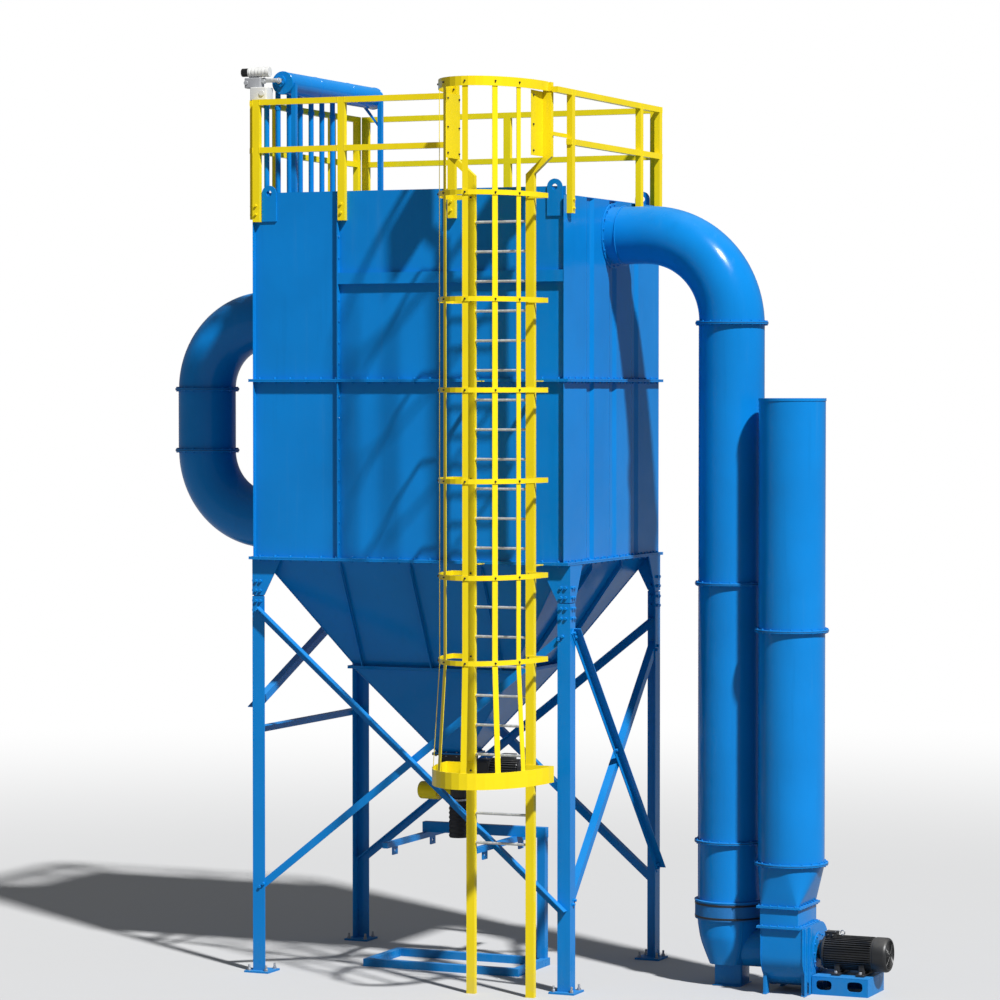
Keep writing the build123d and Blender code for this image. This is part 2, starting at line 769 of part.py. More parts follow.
# Left return duct: two bends with straight ends into the left wall and a middle length
left_turn_x = left_duct_x + left_bend_radius
left_r = left_duct_radius
high_bend = elbow((left_turn_x, left_high_flange_z), left_bend_radius,
                  left_r, left_r, duct_wall, 180, 90, 0.0)
high_bend += pipe_x(left_turn_x, -wall_x, 0, left_high_z, left_r, duct_wall)
high_bend += flange_ring(left_duct_x, 0, left_high_flange_z, left_high_flange_z + ft,
                         left_r - duct_wall, left_r + fw)
high_bend += ring_x_axis(-wall_x - ft, -wall_x, 0, left_high_z,
                         left_r - duct_wall, left_r + wall_collar_width)
add("left_duct_high_bend", high_bend)
low_bend = elbow((left_turn_x, left_low_flange_z), left_bend_radius,
                 left_r, left_r, duct_wall, 180, 270, 0.0)
low_bend += pipe_x(left_turn_x, -wall_x, 0, left_low_z, left_r, duct_wall)
low_bend += flange_ring(left_duct_x, 0, left_low_flange_z - ft, left_low_flange_z,
                        left_r - duct_wall, left_r + fw)
low_bend += ring_x_axis(-wall_x - ft, -wall_x, 0, left_low_z,
                        left_r - duct_wall, left_r + wall_collar_width)
add("left_duct_low_bend", low_bend)
middle = pipe(left_duct_x, 0, left_low_flange_z, left_high_flange_z, left_r, duct_wall)
middle += flange_ring(left_duct_x, 0, left_low_flange_z, left_low_flange_z + ft,
                      left_r - duct_wall, left_r + fw)
middle += flange_ring(left_duct_x, 0, left_high_flange_z - ft, left_high_flange_z,
                      left_r - duct_wall, left_r + fw)
add("left_duct_middle", middle)

# Right clean air duct
right_turn_x = right_duct_x - right_bend_radius
right_bend = elbow((right_turn_x, right_bend_z), right_bend_radius,
                   right_stub_radius, right_duct_radius, duct_wall, 90, 0, 0.0)
right_bend += pipe_x(wall_x, right_turn_x, 0, right_stub_z, right_stub_radius, duct_wall)
right_bend += ring_x_axis(wall_x, wall_x + ft, 0, right_stub_z,
                          right_stub_radius - duct_wall, right_stub_radius + fw)
right_bend += flange_ring(right_duct_x, 0, right_bend_z, right_bend_z + ft,
                          right_duct_radius - duct_wall, right_duct_radius + fw)
add("right_duct_bend", right_bend)


def straight_duct(x, z0, z1, radius):
    length = pipe(x, 0, z0, z1, radius, duct_wall)
    length += flange_ring(x, 0, z0, z0 + ft, radius - duct_wall, radius + fw)
    length += flange_ring(x, 0, z1 - ft, z1, radius - duct_wall, radius + fw)
    return length


add("right_duct_upper", straight_duct(right_duct_x, right_joint_z, right_bend_z, right_duct_radius))
add("right_duct_middle", straight_duct(right_duct_x, right_low_z, right_joint_z, right_duct_radius))
add("right_duct_lower", straight_duct(right_duct_x, collar_high_z, right_low_z, right_duct_radius))
add("duct_flexible_joint", pipe(right_duct_x, 0, collar_low_z, collar_high_z,
                                right_duct_radius + fw - 8, 8))

# Fan inlet box under the duct: a slanted box open to the duct and to the fan eye
box_left = right_duct_x - right_duct_radius - fw
box_right = right_duct_x + right_duct_radius + fw
outer_points = [
    (box_left, collar_low_z), (box_right, collar_low_z),
    (box_right, scroll_low), (box_left + box_slant, scroll_low),
]
w = fan_wall
inner_points = [
    (box_left + w, collar_low_z - 12), (box_right - w, collar_low_z - 12),
    (box_right - w, scroll_low + w), (box_left + box_slant + w, scroll_low + w),
]
box_half = right_duct_radius + fw
inlet_box = prism_xz(outer_points, -box_half, box_half)
inlet_box -= prism_xz(inner_points, -box_half + w, box_half - w)
inlet_box -= rod(right_duct_x, 0, collar_low_z - 20, collar_low_z + 10, right_duct_radius - duct_wall)
inlet_box -= rod_x(box_right - 20, box_right + 20, shaft_y, shaft_z, fan_eye_radius)
inlet_box += ring_x_axis(box_right, fan_left, shaft_y, shaft_z, fan_eye_radius, fan_eye_radius + 6)
inlet_box += ring_x_axis(fan_left - 12, fan_left, shaft_y, shaft_z, fan_eye_radius,
                         fan_eye_radius + fan_eye_collar)
for y in (-box_half, box_half - box_foot_width):
    for x in (box_left + box_slant + 20, box_right - box_foot_length - 20):
        inlet_box += block(x, x + box_foot_length, y, y + box_foot_width, 0, scroll_low)
add("fan_inlet_box", inlet_box)


# Fan scroll: a volute in the YZ plane, opening upward at the front
def volute(shrink):
    extra = 1.0 if shrink else 0.0
    front_reach = shaft_y + fan_front - shrink
    low_reach = shaft_z - scroll_low - shrink
    back_reach = scroll_back - shaft_y - shrink
    top_reach = scroll_top_z - 60.0 - shaft_z - shrink
    points = [(-fan_front + shrink, scroll_top_z + extra)]
    for k in range(0, 12):
        a = radians(180 + 90 * k / 12)
        points.append((shaft_y + front_reach * cos(a), shaft_z + low_reach * sin(a)))
    for k in range(0, 12):
        a = radians(270 + 90 * k / 12)
        points.append((shaft_y + back_reach * cos(a), shaft_z + low_reach * sin(a)))
    for k in range(0, 10):
        a = radians(90 * k / 12)
        points.append((shaft_y + back_reach * cos(a), shaft_z + top_reach * sin(a)))
    points.append((fan_outlet_back - shrink, points[-1][1]))
    points.append((fan_outlet_back - shrink, scroll_top_z + extra))
    return points


scroll = prism_yz(volute(0.0), fan_left, fan_right)
for x in (fan_left, fan_right - fan_foot_width):
    for y in fan_foot_places:
        scroll += block(x, x + fan_foot_width, y, y + fan_foot_length, 0, shaft_z / 2)
for y in fan_stiffener_places:
    scroll += block(fan_right - fan_wall / 2, fan_right + fan_stiffener_depth, y, y + stiffener_width,
                    0, scroll_top_z)
scroll -= prism_yz(volute(fan_wall), fan_left + fan_wall, fan_right - fan_wall)
scroll -= rod_x(fan_left - 10, fan_left + 10, shaft_y, shaft_z, fan_eye_radius)
scroll -= rod_x(fan_right - 10, fan_right + 10, shaft_y, shaft_z, shaft_hole_radius)
add("fan_scroll", scroll)

# Motor, its base, and the shaft into the fan
body_end = motor_left + motor_body_length
motor = rod_x(motor_left, body_end, shaft_y, shaft_z, motor_radius - 18)
fin_box = Pos(0, 0, motor_radius - motor_fin_height / 2) * Box(
    motor_body_length - 110, motor_fin_thick, motor_fin_height)
for k in range(motor_fin_count):
    if sin(2 * pi * k / motor_fin_count) >= -0.55:
        turn = Rot(k * 360.0 / motor_fin_count, 0, 0)
        motor += Pos(motor_left + motor_body_length / 2 + 15, shaft_y, shaft_z) * turn * fin_box
motor += rod_x(motor_left, motor_left + 40, shaft_y, shaft_z, motor_radius)
motor += rod_x(fan_right, motor_left, shaft_y, shaft_z, motor_nose_radius)
for place in motor_foot_places:
    x = motor_left + place
    motor += block(x, x + motor_foot_length, shaft_y - motor_foot_half, shaft_y + motor_foot_half,
                   motor_base_top, motor_base_top + motor_foot_thick)
    motor += block(x, x + motor_foot_length, shaft_y - motor_nose_radius, shaft_y + motor_nose_radius,
                   motor_base_top + motor_foot_thick / 2, shaft_z - 60)
add("fan_motor", motor)
cowl = pipe_x(body_end, body_end + cowl_length, shaft_y, shaft_z, motor_radius - 2, 5)
cowl += rod_x(body_end, body_end + 6, shaft_y, shaft_z, motor_radius - 3)
cowl += rod_x(body_end + cowl_length - 6, body_end + cowl_length, shaft_y, shaft_z, motor_radius - 3)
add("motor_cowl", cowl)
stand_y0 = shaft_y - motor_base_half
stand_y1 = shaft_y + motor_base_half
stand = block(motor_base_x0, motor_base_x1, stand_y0, stand_y1, 0, motor_base_top)
bw = motor_base_wall
stand -= block(motor_base_x0 + bw, motor_base_x1 - bw, stand_y0 + bw, stand_y1 - bw,
               -1, motor_base_top - bw)
for x in (motor_base_x0 + base_slot_inset, motor_base_x1 - base_slot_inset):
    opening = block(x - base_slot_half, x + base_slot_half, stand_y0 - 5, stand_y1 + 5,
                    base_slot_z - base_slot_radius, base_slot_z + base_slot_radius)
    for end_x in (x - base_slot_half, x + base_slot_half):
        opening += rod_y(end_x, stand_y0 - 5, stand_y1 + 5, base_slot_z, base_slot_radius)
    stand -= opening
add("motor_base", stand)

# Stack collar, square to round piece, lower and upper stack
half_cx = (fan_right - fan_left) / 2 + stack_box_gap
half_cy = (fan_front + fan_outlet_back) / 2 + stack_box_gap
flange_cx = half_cx + stack_box_flange
flange_cy = half_cy + stack_box_flange
collar_x = (fan_left + fan_right) / 2
collar_y = (fan_outlet_back - fan_front) / 2


def box_ring(x, y, hx, hy, z0, z1, wall):
    outer = block(x - hx, x + hx, y - hy, y + hy, z0, z1)
    return outer - block(x - hx + wall, x + hx - wall, y - hy + wall, y + hy - wall, z0 - 1, z1 + 1)


collar = box_ring(collar_x, collar_y, half_cx, half_cy, scroll_top_z, stack_collar_z, 6)
flange_wall = stack_box_flange + 6
collar += box_ring(collar_x, collar_y, flange_cx, flange_cy, scroll_top_z, scroll_top_z + 12, flange_wall)
collar += box_ring(collar_x, collar_y, flange_cx, flange_cy,
                   stack_collar_z - 12, stack_collar_z, flange_wall)
add("stack_collar", collar)


def square_round(shrink, extra):
    low = Pos(collar_x, collar_y, stack_collar_z - extra) * Rectangle(
        2 * (half_cx - shrink), 2 * (half_cy - shrink))
    high = Pos(stack_x, stack_y, stack_round_z + extra) * Circle(stack_radius - shrink)
    return loft([low, high])


transition = square_round(0.0, 0.0) - square_round(stack_wall, 0.0)
transition += box_ring(collar_x, collar_y, flange_cx, flange_cy,
                       stack_collar_z, stack_collar_z + 12, flange_wall)
add("stack_transition", transition)


def stack_length(z0, z1, low_flange, high_flange):
    length = pipe(stack_x, stack_y, z0, z1, stack_radius, stack_wall)
    if low_flange:
        length += flange_ring(stack_x, stack_y, z0, z0 + ft, stack_radius - stack_wall,
                              stack_radius + fw)
    if high_flange:
        length += flange_ring(stack_x, stack_y, z1 - ft, z1, stack_radius - stack_wall,
                              stack_radius + fw)
    return length


add("stack_lower", stack_length(stack_round_z, stack_joint_z, True, True))
add("stack_upper", stack_length(stack_joint_z, stack_top_z, True, False))

# Air header with its boss, its legs on the right side, and a knee at the back leg
header = rod_y(header_x, header_front, header_back, header_z, header_radius)
header -= rod_y(header_x, header_front + 8, header_back - 8, header_z, header_radius - header_wall)
boss_z = header_z + header_boss_rise
boss_front = header_front - header_boss_length
header += rod_y(header_boss_x, boss_front, header_front, boss_z, header_boss_radius)
leg_half = header_leg_size / 2
supports = []
for y in (header_front + header_leg_inset, header_back - header_leg_inset):
    supports.append(block(header_leg_x - leg_half, header_leg_x + leg_half, y - leg_half, y + leg_half,
                          roof_z, header_z))
knee_y = header_back - header_leg_inset
knee_x = header_leg_x - leg_half
supports.append(prism_xz([
    (knee_x, header_z - header_knee_drop), (knee_x, header_z - header_knee_drop + header_knee_depth),
    (header_x - header_radius * 0.6, header_z - header_radius * 0.7),
    (header_x - header_radius * 0.85, header_z - header_radius * 0.8),
], knee_y - 10, knee_y + 10))
for support in supports:
    header += support - rod_y(header_x, header_front, header_back, header_z, header_radius)
add("air_header", header)

# Air inlet unit: a pipe out of the boss and across into the unit
unit_y = header_front - inlet_reach
unit_y0 = unit_y - inlet_half_depth
unit_y1 = unit_y + inlet_half_depth
body_z0 = boss_z - inlet_body_drop
body_z1 = boss_z + inlet_body_rise
inlet_bowl_z = boss_z + inlet_bowl_rise
inlet = rod_y(header_boss_x, unit_y, boss_front, boss_z, inlet_pipe_radius)
inlet += rod_x(inlet_body_x[1] - 5, header_boss_x + inlet_pipe_radius, unit_y, boss_z, inlet_pipe_radius)
inlet += block(*inlet_body_x, unit_y0, unit_y1, body_z0, body_z1)
inlet += block(*inlet_valve_x, unit_y0 + 5, unit_y1 - 5, rail_top_z, body_z0)
inlet += rod_x(*inlet_bowl_x, unit_y, inlet_bowl_z, inlet_bowl_radius)
inlet += block(inlet_body_x[0] + 60, inlet_body_x[1] - 30, unit_y - 20, unit_y + 20,
               body_z1 - 5, inlet_bowl_z)
inlet += rod_x(inlet_knob_x, inlet_bowl_x[0] + 5, unit_y, inlet_bowl_z, inlet_knob_radius)
add("header_inlet_valve", inlet)
blow_pipes = []
for k in range(blow_pipe_count):
    y = blow_pipe_first + k * blow_pipe_pitch
    upright = rod(blow_pipe_x, y, roof_z, header_z - 60, blow_pipe_radius)
    blow_pipes.append(upright - rod_y(header_x, header_front, header_back, header_z, header_radius))
add("blow_pipes", blow_pipes)

# Ladder stiles with the flare above the roof
def stile(sign):
    x_in = ladder_half
    x_out = ladder_flare_half
    w2 = stile_width / 2
    points = [
        (sign * (x_in - w2), 0), (sign * (x_in + w2), 0),
        (sign * (x_in + w2), ladder_flare_z0), (sign * (x_out + w2), ladder_flare_z1),
        (sign * (x_out + w2), ladder_top_z), (sign * (x_out - w2), ladder_top_z),
        (sign * (x_out - w2), ladder_flare_z1), (sign * (x_in - w2), ladder_flare_z0),
    ]
    points = [(ladder_x + x, z) for x, z in points]
    return prism_xz(points, ladder_y - stile_depth / 2, ladder_y + stile_depth / 2)


rungs = []
inner_half = ladder_half - stile_width / 2
for k in range(rung_count):
    z = rung_first_z + k * rung_pitch
    rungs.append(rod_x(ladder_x - inner_half, ladder_x + inner_half, ladder_y, z, rung_radius))
add("ladder_rungs", rungs)


# Cage: hoops follow a polygon on a half ellipse, straps lie flat on its sides
root_y = ladder_y - stile_depth / 2


def cage_path(grow):
    base = []
    for k in range(cage_sides + 1):
        a = pi * k / cage_sides
        base.append((ladder_x - cage_half * cos(a), root_y - cage_depth * sin(a)))
    path = []
    for k, (x, y) in enumerate(base):
        before = base[max(k - 1, 0)]
        after = base[min(k + 1, cage_sides)]
        ax, ay = x - before[0], y - before[1]
        bx, by = after[0] - x, after[1] - y
        if k == 0:
            ax, ay = 0.0, -1.0
        if k == cage_sides:
            bx, by = 0.0, 1.0
        la = (ax * ax + ay * ay) ** 0.5
        lb = (bx * bx + by * by) ** 0.5
        n1 = (ay / la, -ax / la)
        n2 = (by / lb, -bx / lb)
        scale = grow / (1 + n1[0] * n2[0] + n1[1] * n2[1])
        path.append((x + (n1[0] + n2[0]) * scale, y + (n1[1] + n2[1]) * scale))
    path[0] = (path[0][0], root_y)
    path[-1] = (path[-1][0], root_y)
    return path


def hoop(z0, z1, grow, stile_centre):
    ring = prism_xy(cage_path(grow + hoop_thick) + list(reversed(cage_path(grow))), z0, z1)
    for sign in (-1, 1):
        ring += block(ladder_x + sign * (stile_centre - stile_width / 2 + hoop_lap),
                      ladder_x + sign * (cage_half + grow), root_y - hoop_thick, root_y, z0, z1)
    return ring


hoops = [hoop(z, z + hoop_height, 0.0, ladder_half) for z in hoop_levels]
hoops.append(hoop(top_band_z0, top_band_z1, 0.0, ladder_flare_half))
hoops.append(hoop(bottom_band_z0, bottom_band_z1, cage_flare, ladder_half))
add("cage_hoops", hoops)
straps = []
for side in strap_sides:
    (xa, ya), (xb, yb) = cage_path(0.0)[side:side + 2]
    run = ((xb - xa) ** 2 + (yb - ya) ** 2) ** 0.5
    along = ((xb - xa) / run, (yb - ya) / run, 0)
    outward = ((yb - ya) / run, -(xb - xa) / run, 0)
    plane = Plane(origin=((xa + xb) / 2, (ya + yb) / 2, 0), x_dir=outward, z_dir=along)
    rise = plane.y_dir.Z
    line = [
        (0, top_band_z1), (0, hoop_levels[0]), (cage_flare, bottom_band_z1),
        (cage_flare, bottom_band_z0), (cage_flare - strap_thick, bottom_band_z0),
        (cage_flare - strap_thick, bottom_band_z1), (-strap_thick, hoop_levels[0]),
        (-strap_thick, top_band_z1),
    ]
    outline = make_face(Polyline(*[(u, rise * z) for u, z in line], close=True))
    straps.append(extrude(plane * outline, strap_width / 2, both=True))
add("cage_straps", straps)
stiles = []
for sign in (-1, 1):
    upright = stile(sign)
    x = ladder_x + sign * ladder_half
    for z in (mid_flange_z, hopper_flange_z):
        upright += block(x - bracket_half, x + bracket_half, ladder_y, -ring_y, z, z + bracket_thick)
    stiles.append(upright)
add("ladder_stiles", stiles)
side_plates = []
side_plate_back = ladder_y + stile_depth / 2
for sign in (-1, 1):
    x = ladder_x + sign * (ladder_flare_half - stile_width / 2)
    side_plates.append(block(x, x - sign * side_plate_thick, side_plate_front, side_plate_back,
                             ladder_flare_z1, side_plate_high))
add("ladder_side_plates", side_plates)


# Guard rails
rail_mid_z = (rail_top_z + roof_z) / 2
rail_mid_z0 = rail_mid_z - rail_size / 2
rail_mid_z1 = rail_mid_z + rail_size / 2
post_half = post_size / 2


def rail_x(x0, x1, y0, post_list, low_z):
    y1 = y0 + rail_size
    panel = block(x0, x1, y0, y1, rail_top_z - rail_size, rail_top_z)
    panel += block(x0, x1, y0, y1, rail_mid_z0, rail_mid_z1)
    for x in post_list:
        panel += block(x - post_half, x + post_half, y0, y1, low_z, rail_top_z)
    return panel


def rail_y(y0, y1, x0, post_list, low_z):
    x1 = x0 + rail_size
    panel = block(x0, x1, y0, y1, rail_top_z - rail_size, rail_top_z)
    panel += block(x0, x1, y0, y1, rail_mid_z0, rail_mid_z1)
    for y in post_list:
        panel += block(x0, x1, y - post_half, y + post_half, low_z, rail_top_z)
    return panel


end_x = wall_x - wall_thick
end_y = wall_y - side_rail_inset
front_rail = rail_x(-end_x, gate_left_x, -wall_y - rail_size,
                    [-end_x + post_half, front_post_x, gate_left_x - post_half], post_low_z)
add("guard_rail_front", front_rail)
right_rail = rail_y(-end_y, end_y, wall_x, [*right_post_places, end_y - post_half], side_post_low_z)
# The top rail runs on to the cage, and a flat tie joins the front post to the right stile
right_rail += block(wall_x, wall_x + rail_size, root_y - hoop_thick, -end_y + 1,
                    rail_top_z - rail_size, rail_top_z)
right_rail += block(ladder_x + cage_half, wall_x, root_y - hoop_thick, root_y,
                    top_band_z0, rail_top_z)
right_rail -= hoops[-2]
stile_out_x = ladder_x + ladder_flare_half + stile_width / 2
right_rail += block(stile_out_x, stile_out_x + tie_thick, ladder_y, right_post_places[0] + post_half,
                    tie_z0, tie_z1)
add("guard_rail_right", right_rail)
left_rail = rail_y(-end_y, end_y, -wall_x - rail_size,
                   [-end_y + post_half, *left_post_places, end_y - post_half], side_post_low_z)
add("guard_rail_left", left_rail)
back_rail = rail_x(-end_x, end_x, wall_y, [-end_x + post_half, 0.0, end_x - post_half], side_post_low_z)
add("guard_rail_back", back_rail)

# Move everything so that the origin is at the middle of the underside, then write
whole = Compound([s for solids in pieces.values() for s in solids]).bounding_box()
offset = Pos(-(whole.min.X + whole.max.X) / 2, -(whole.min.Y + whole.max.Y) / 2, -whole.min.Z)
for name, solids in pieces.items():
    shape = Compound([offset * s for s in solids])
    shape.label = name
    export_step(shape, f"parts/{name}.step")
print("offset", offset.position)
print("size", whole.size)
print("nodes", len(pieces))
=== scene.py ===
import json
from math import cos, pi, radians, sin

import bpy
import numpy as np
from bpy.props import FloatProperty, FloatVectorProperty, PointerProperty
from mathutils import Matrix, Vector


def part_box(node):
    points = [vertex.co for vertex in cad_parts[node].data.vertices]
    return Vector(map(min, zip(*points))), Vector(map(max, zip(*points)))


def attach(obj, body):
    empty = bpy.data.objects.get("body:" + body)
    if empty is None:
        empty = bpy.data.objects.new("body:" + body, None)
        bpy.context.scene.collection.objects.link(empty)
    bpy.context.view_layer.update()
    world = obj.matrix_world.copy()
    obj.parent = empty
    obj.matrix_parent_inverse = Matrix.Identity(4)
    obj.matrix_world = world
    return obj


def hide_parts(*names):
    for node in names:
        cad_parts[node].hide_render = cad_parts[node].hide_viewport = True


bl_info = {
    "name": "Dust Collector Dressing",
    "version": (1, 0, 0),
    "blender": (4, 5, 0),
    "location": "3D View > Sidebar > Collector",
    "description": "Paint, ducts, bolts and fittings round the packed frame of a dust collector",
    "category": "Object",
}

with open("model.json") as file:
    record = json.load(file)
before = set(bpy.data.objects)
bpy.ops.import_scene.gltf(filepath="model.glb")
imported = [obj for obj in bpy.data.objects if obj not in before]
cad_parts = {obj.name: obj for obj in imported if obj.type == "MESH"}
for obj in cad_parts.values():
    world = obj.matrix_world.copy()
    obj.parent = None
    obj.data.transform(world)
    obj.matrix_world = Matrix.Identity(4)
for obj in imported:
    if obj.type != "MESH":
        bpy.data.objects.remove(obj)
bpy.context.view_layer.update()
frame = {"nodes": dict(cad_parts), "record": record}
leg_low, leg_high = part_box("leg_columns")
middle = np.array([(leg_low[0] + leg_high[0]) / 2, (leg_low[1] + leg_high[1]) / 2, 0.0])

# The finish that each material slot wears unless a piece asks for another
slot_finish = {"blue_paint": "blue_enamel", "yellow_paint": "yellow_enamel",
               "zinc": "zinc_coating", "dark_paint": "black_enamel",
               "black_rubber": "black_rubber", "joint_cloth": "cloth_sleeve"}


# Places and directions

EAST, WEST, NORTH, SOUTH = (1, 0, 0), (-1, 0, 0), (0, 1, 0), (0, -1, 0)
UP, DOWN = (0, 0, 1), (0, 0, -1)
CORNERS = ((-1, -1), (-1, 1), (1, -1), (1, 1))


def site(x, y, z):
    """A point in metres from the middle of the four legs at floor level, in the frame's axes."""
    return middle + np.array([x, y, z], float)


def on_face(axis, along, out, z):
    """A point on the upright face that looks along axis, at a distance out from the middle."""
    return site(along, axis[1] * out, z) if axis[1] else site(axis[0] * out, along, z)


def basis(axis):
    """Two unit vectors square to an axis, from the world axis least in line with it, and the axis."""
    axis = np.asarray(axis, float) / np.linalg.norm(axis)
    across = np.cross(np.eye(3)[int(np.argmin(np.abs(axis)))], axis)
    across /= np.linalg.norm(across)
    return across, np.cross(axis, across), axis


def circle(axis, count, start=0.0):
    """Unit vectors evenly round an axis: cos t * u + sin t * v."""
    u, v, _ = basis(axis)
    t = start + np.linspace(0, 2 * pi, count, endpoint=False)
    return np.cos(t)[:, None] * u + np.sin(t)[:, None] * v


def circle_places(origin, axis, radius, count, start=0.0):
    """Points evenly spaced on a circle."""
    return np.asarray(origin) + radius * circle(axis, count, start)


def line_places(start, end, pitch):
    """Points along a line, half a pitch from its ends or a little more."""
    start, end = np.asarray(start, float), np.asarray(end, float)
    count = max(int(round(np.linalg.norm(end - start) / pitch)), 1)
    return start + (end - start) * ((np.arange(count) + 0.5) / count)[:, None]


def sides(low, high):
    """The sides of a rectangle as pairs of (x, y) corners, anticlockwise from the low corner."""
    corners = [(low[0], low[1]), (high[0], low[1]), (high[0], high[1]), (low[0], high[1])]
    return list(zip(corners, corners[1:] + corners[:1]))


# Surfaces worked out with arrays. A part is (points, [arrays of faces]).

def outward(points, groups):
    """A closed part with its faces turned so that its volume is positive.

    The volume is the sum of a . (b x c) / 6 over the triangles that fan from each face's first corner.
    """
    centred = points - points.mean(0)
    volume = 0.0
    for faces in groups:
        for k in range(1, faces.shape[1] - 1):
            a, b, c = (centred[faces[:, corner]] for corner in (0, k, k + 1))
            volume += np.einsum("ij,ij->i", a, np.cross(b, c)).sum() / 6
    return points, groups if volume >= 0 else [faces[:, ::-1] for faces in groups]


def grid_faces(rows, columns, closed_rows, closed_columns):
    """Quads of a grid whose point (i, j) has the number i * columns + j."""
    i = np.arange(rows if closed_rows else rows - 1)
    j = np.arange(columns if closed_columns else columns - 1)
    i, j = np.meshgrid(i, j, indexing="ij")
    i2, j2 = (i + 1) % rows, (j + 1) % columns
    quads = np.stack([i * columns + j, i2 * columns + j, i2 * columns + j2, i * columns + j2], -1)
    return quads.reshape(-1, 4)


def ringed(rings, closed=False):
    """Closed part from (rows, columns, 3) rings of points: capped at both ends or joined end to end."""
    rings = np.asarray(rings)
    rows, columns = rings.shape[:2]
    groups = [grid_faces(rows, columns, closed, True)]
    if not closed:
        groups.append(np.arange(columns)[None, ::-1])
        groups.append((rows - 1) * columns + np.arange(columns)[None, :])
    return outward(rings.reshape(-1, 3), groups)


def turned(profile, origin, axis, around=48, closed=False):
    """Profile of (radius, height) turned about an axis: origin + height * axis + radius * circle."""
    profile = np.asarray(profile, float)
    rise = profile[:, 1, None] * basis(axis)[2]
    return ringed(profile[:, 0, None, None] * circle(axis, around) + rise[:, None] + origin, closed)


def disc(origin, axis, radius, height, edge=0.0, around=48):
    """Round solid with chamfered rims."""
    profile = [(radius - edge, 0), (radius, edge), (radius, height - edge), (radius - edge, height)]
    return turned(profile, origin, axis, around)


def hoop(origin, axis, inner, outer, height, edge=0.002, around=72):
    """Flat ring of rectangular section with chamfered outer rims."""
    profile = [(inner, 0), (outer - edge, 0), (outer, edge), (outer, height - edge),
               (outer - edge, height), (inner, height)]
    return turned(profile, origin, axis, around, closed=True)


def pipe(x, y, low, high, radius, wall):
    """Upright round pipe."""
    profile = [(radius, low), (radius, high), (radius - wall, high), (radius - wall, low)]
    return turned(profile, (x, y, 0), UP, 96, closed=True)


def bent_tube(centres, tangents, radii, wall, around=72):
    """Pipe wall along a path in an XZ plane.

    Each ring is centre + r * (cos t * Y + sin t * (tangent x Y)).
    The outer rings run forward and the inner rings, one wall thickness smaller, run back to close it.
    """
    t = np.linspace(0, 2 * pi, around, endpoint=False)
    across = np.cross(tangents, NORTH)
    spokes = np.cos(t)[None, :, None] * NORTH + np.sin(t)[None, :, None] * across[:, None]
    outer = centres[:, None] + radii[:, None, None] * spokes
    inner = centres[:, None] + (radii - wall)[:, None, None] * spokes
    return ringed(np.concatenate([outer, inner[::-1]]), closed=True)


def rounded_outline(half_x, half_y, radius, steps=4):
    """Points round a rectangle whose corners are quarter circles, anticlockwise."""
    t = np.linspace(0, pi / 2, steps)
    return np.concatenate([
        np.stack([sx * (half_x - radius) + radius * np.cos(t + start),
                  sy * (half_y - radius) + radius * np.sin(t + start)], -1)
        for sx, sy, start in ((1, 1, 0), (-1, 1, pi / 2), (-1, -1, pi), (1, -1, 3 * pi / 2))])


def box_form(origin, axis, half_u, half_v, height, radius, edge, u_dir=None):
    """Block with rounded long corners and chamfered rims, standing on origin along axis."""
    u, v, w = basis(axis)
    if u_dir is not None:
        u, v = np.asarray(u_dir, float), np.cross(w, u_dir)
    rings = []
    for inset, h in ((edge, 0.0), (0.0, edge), (0.0, height - edge), (edge, height)):
        flat = rounded_outline(half_u - inset, half_v - inset, max(radius - inset, 1e-4))
        rings.append(np.asarray(origin) + flat[:, :1] * u + flat[:, 1:] * v + h * w)
    return ringed(rings)


def block(origin, half_x, half_y, height, radius=0.004, edge=0.002):
    """Upright block with half_x along X and half_y along Y."""
    return box_form(origin, UP, half_x, half_y, height, radius, edge, EAST)


def bead(points, radius):
    """Round bead along a polyline: a small circle square to the run at each point."""
    points = np.asarray(points, float)
    return ringed(points[:, None] + radius * circle(points[-1] - points[0], 6))


def weld(start, end, radius=0.004, pitch=0.03):
    """Weld bead with a slight swell at each pass of the torch: radius * (1 + 0.12 * cos of the run)."""
    start, end = np.asarray(start, float), np.asarray(end, float)
    count = max(int(np.linalg.norm(end - start) / pitch) * 2, 2)
    points = start + (end - start) * np.linspace(0, 1, count)[:, None]
    swell = radius * (1 + 0.12 * np.cos(np.arange(count) * pi))
    return ringed(points[:, None] + swell[:, None, None] * circle(end - start, 6))


def square_beads(half_x, half_y, z, radius):
    """Four weld beads round a rectangle about the middle at one height."""
    return [weld((*a, z), (*b, z), radius)
            for a, b in sides(site(-half_x, -half_y, 0), site(half_x, half_y, 0))]


def joined(parts):
    """Several parts as one, with the faces of each moved on to its own points."""
    points, groups, first = [], [], 0
    for p, g in parts:
        points.append(p)
        groups += [faces + first for faces in g]
        first += len(p)
    return np.concatenate(points), groups


def bolt_form(across):
    """Hexagon head, given across its flats, on a washer, about +Z with its seat at 0."""
    seat = across * 0.1
    corner = across / 2 / cos(pi / 6)
    t = np.arange(6) * pi / 3
    hexagon = [np.stack([corner * scale * np.cos(t), corner * scale * np.sin(t), np.full(6, h)], -1)
               for scale, h in ((1.0, seat), (1.0, seat + across * 0.52), (0.86, seat + across * 0.62))]
    washer = turned([(across * 0.62, 0), (across * 0.62, seat)], (0, 0, 0), UP, 12)
    return joined([washer, ringed(hexagon)])


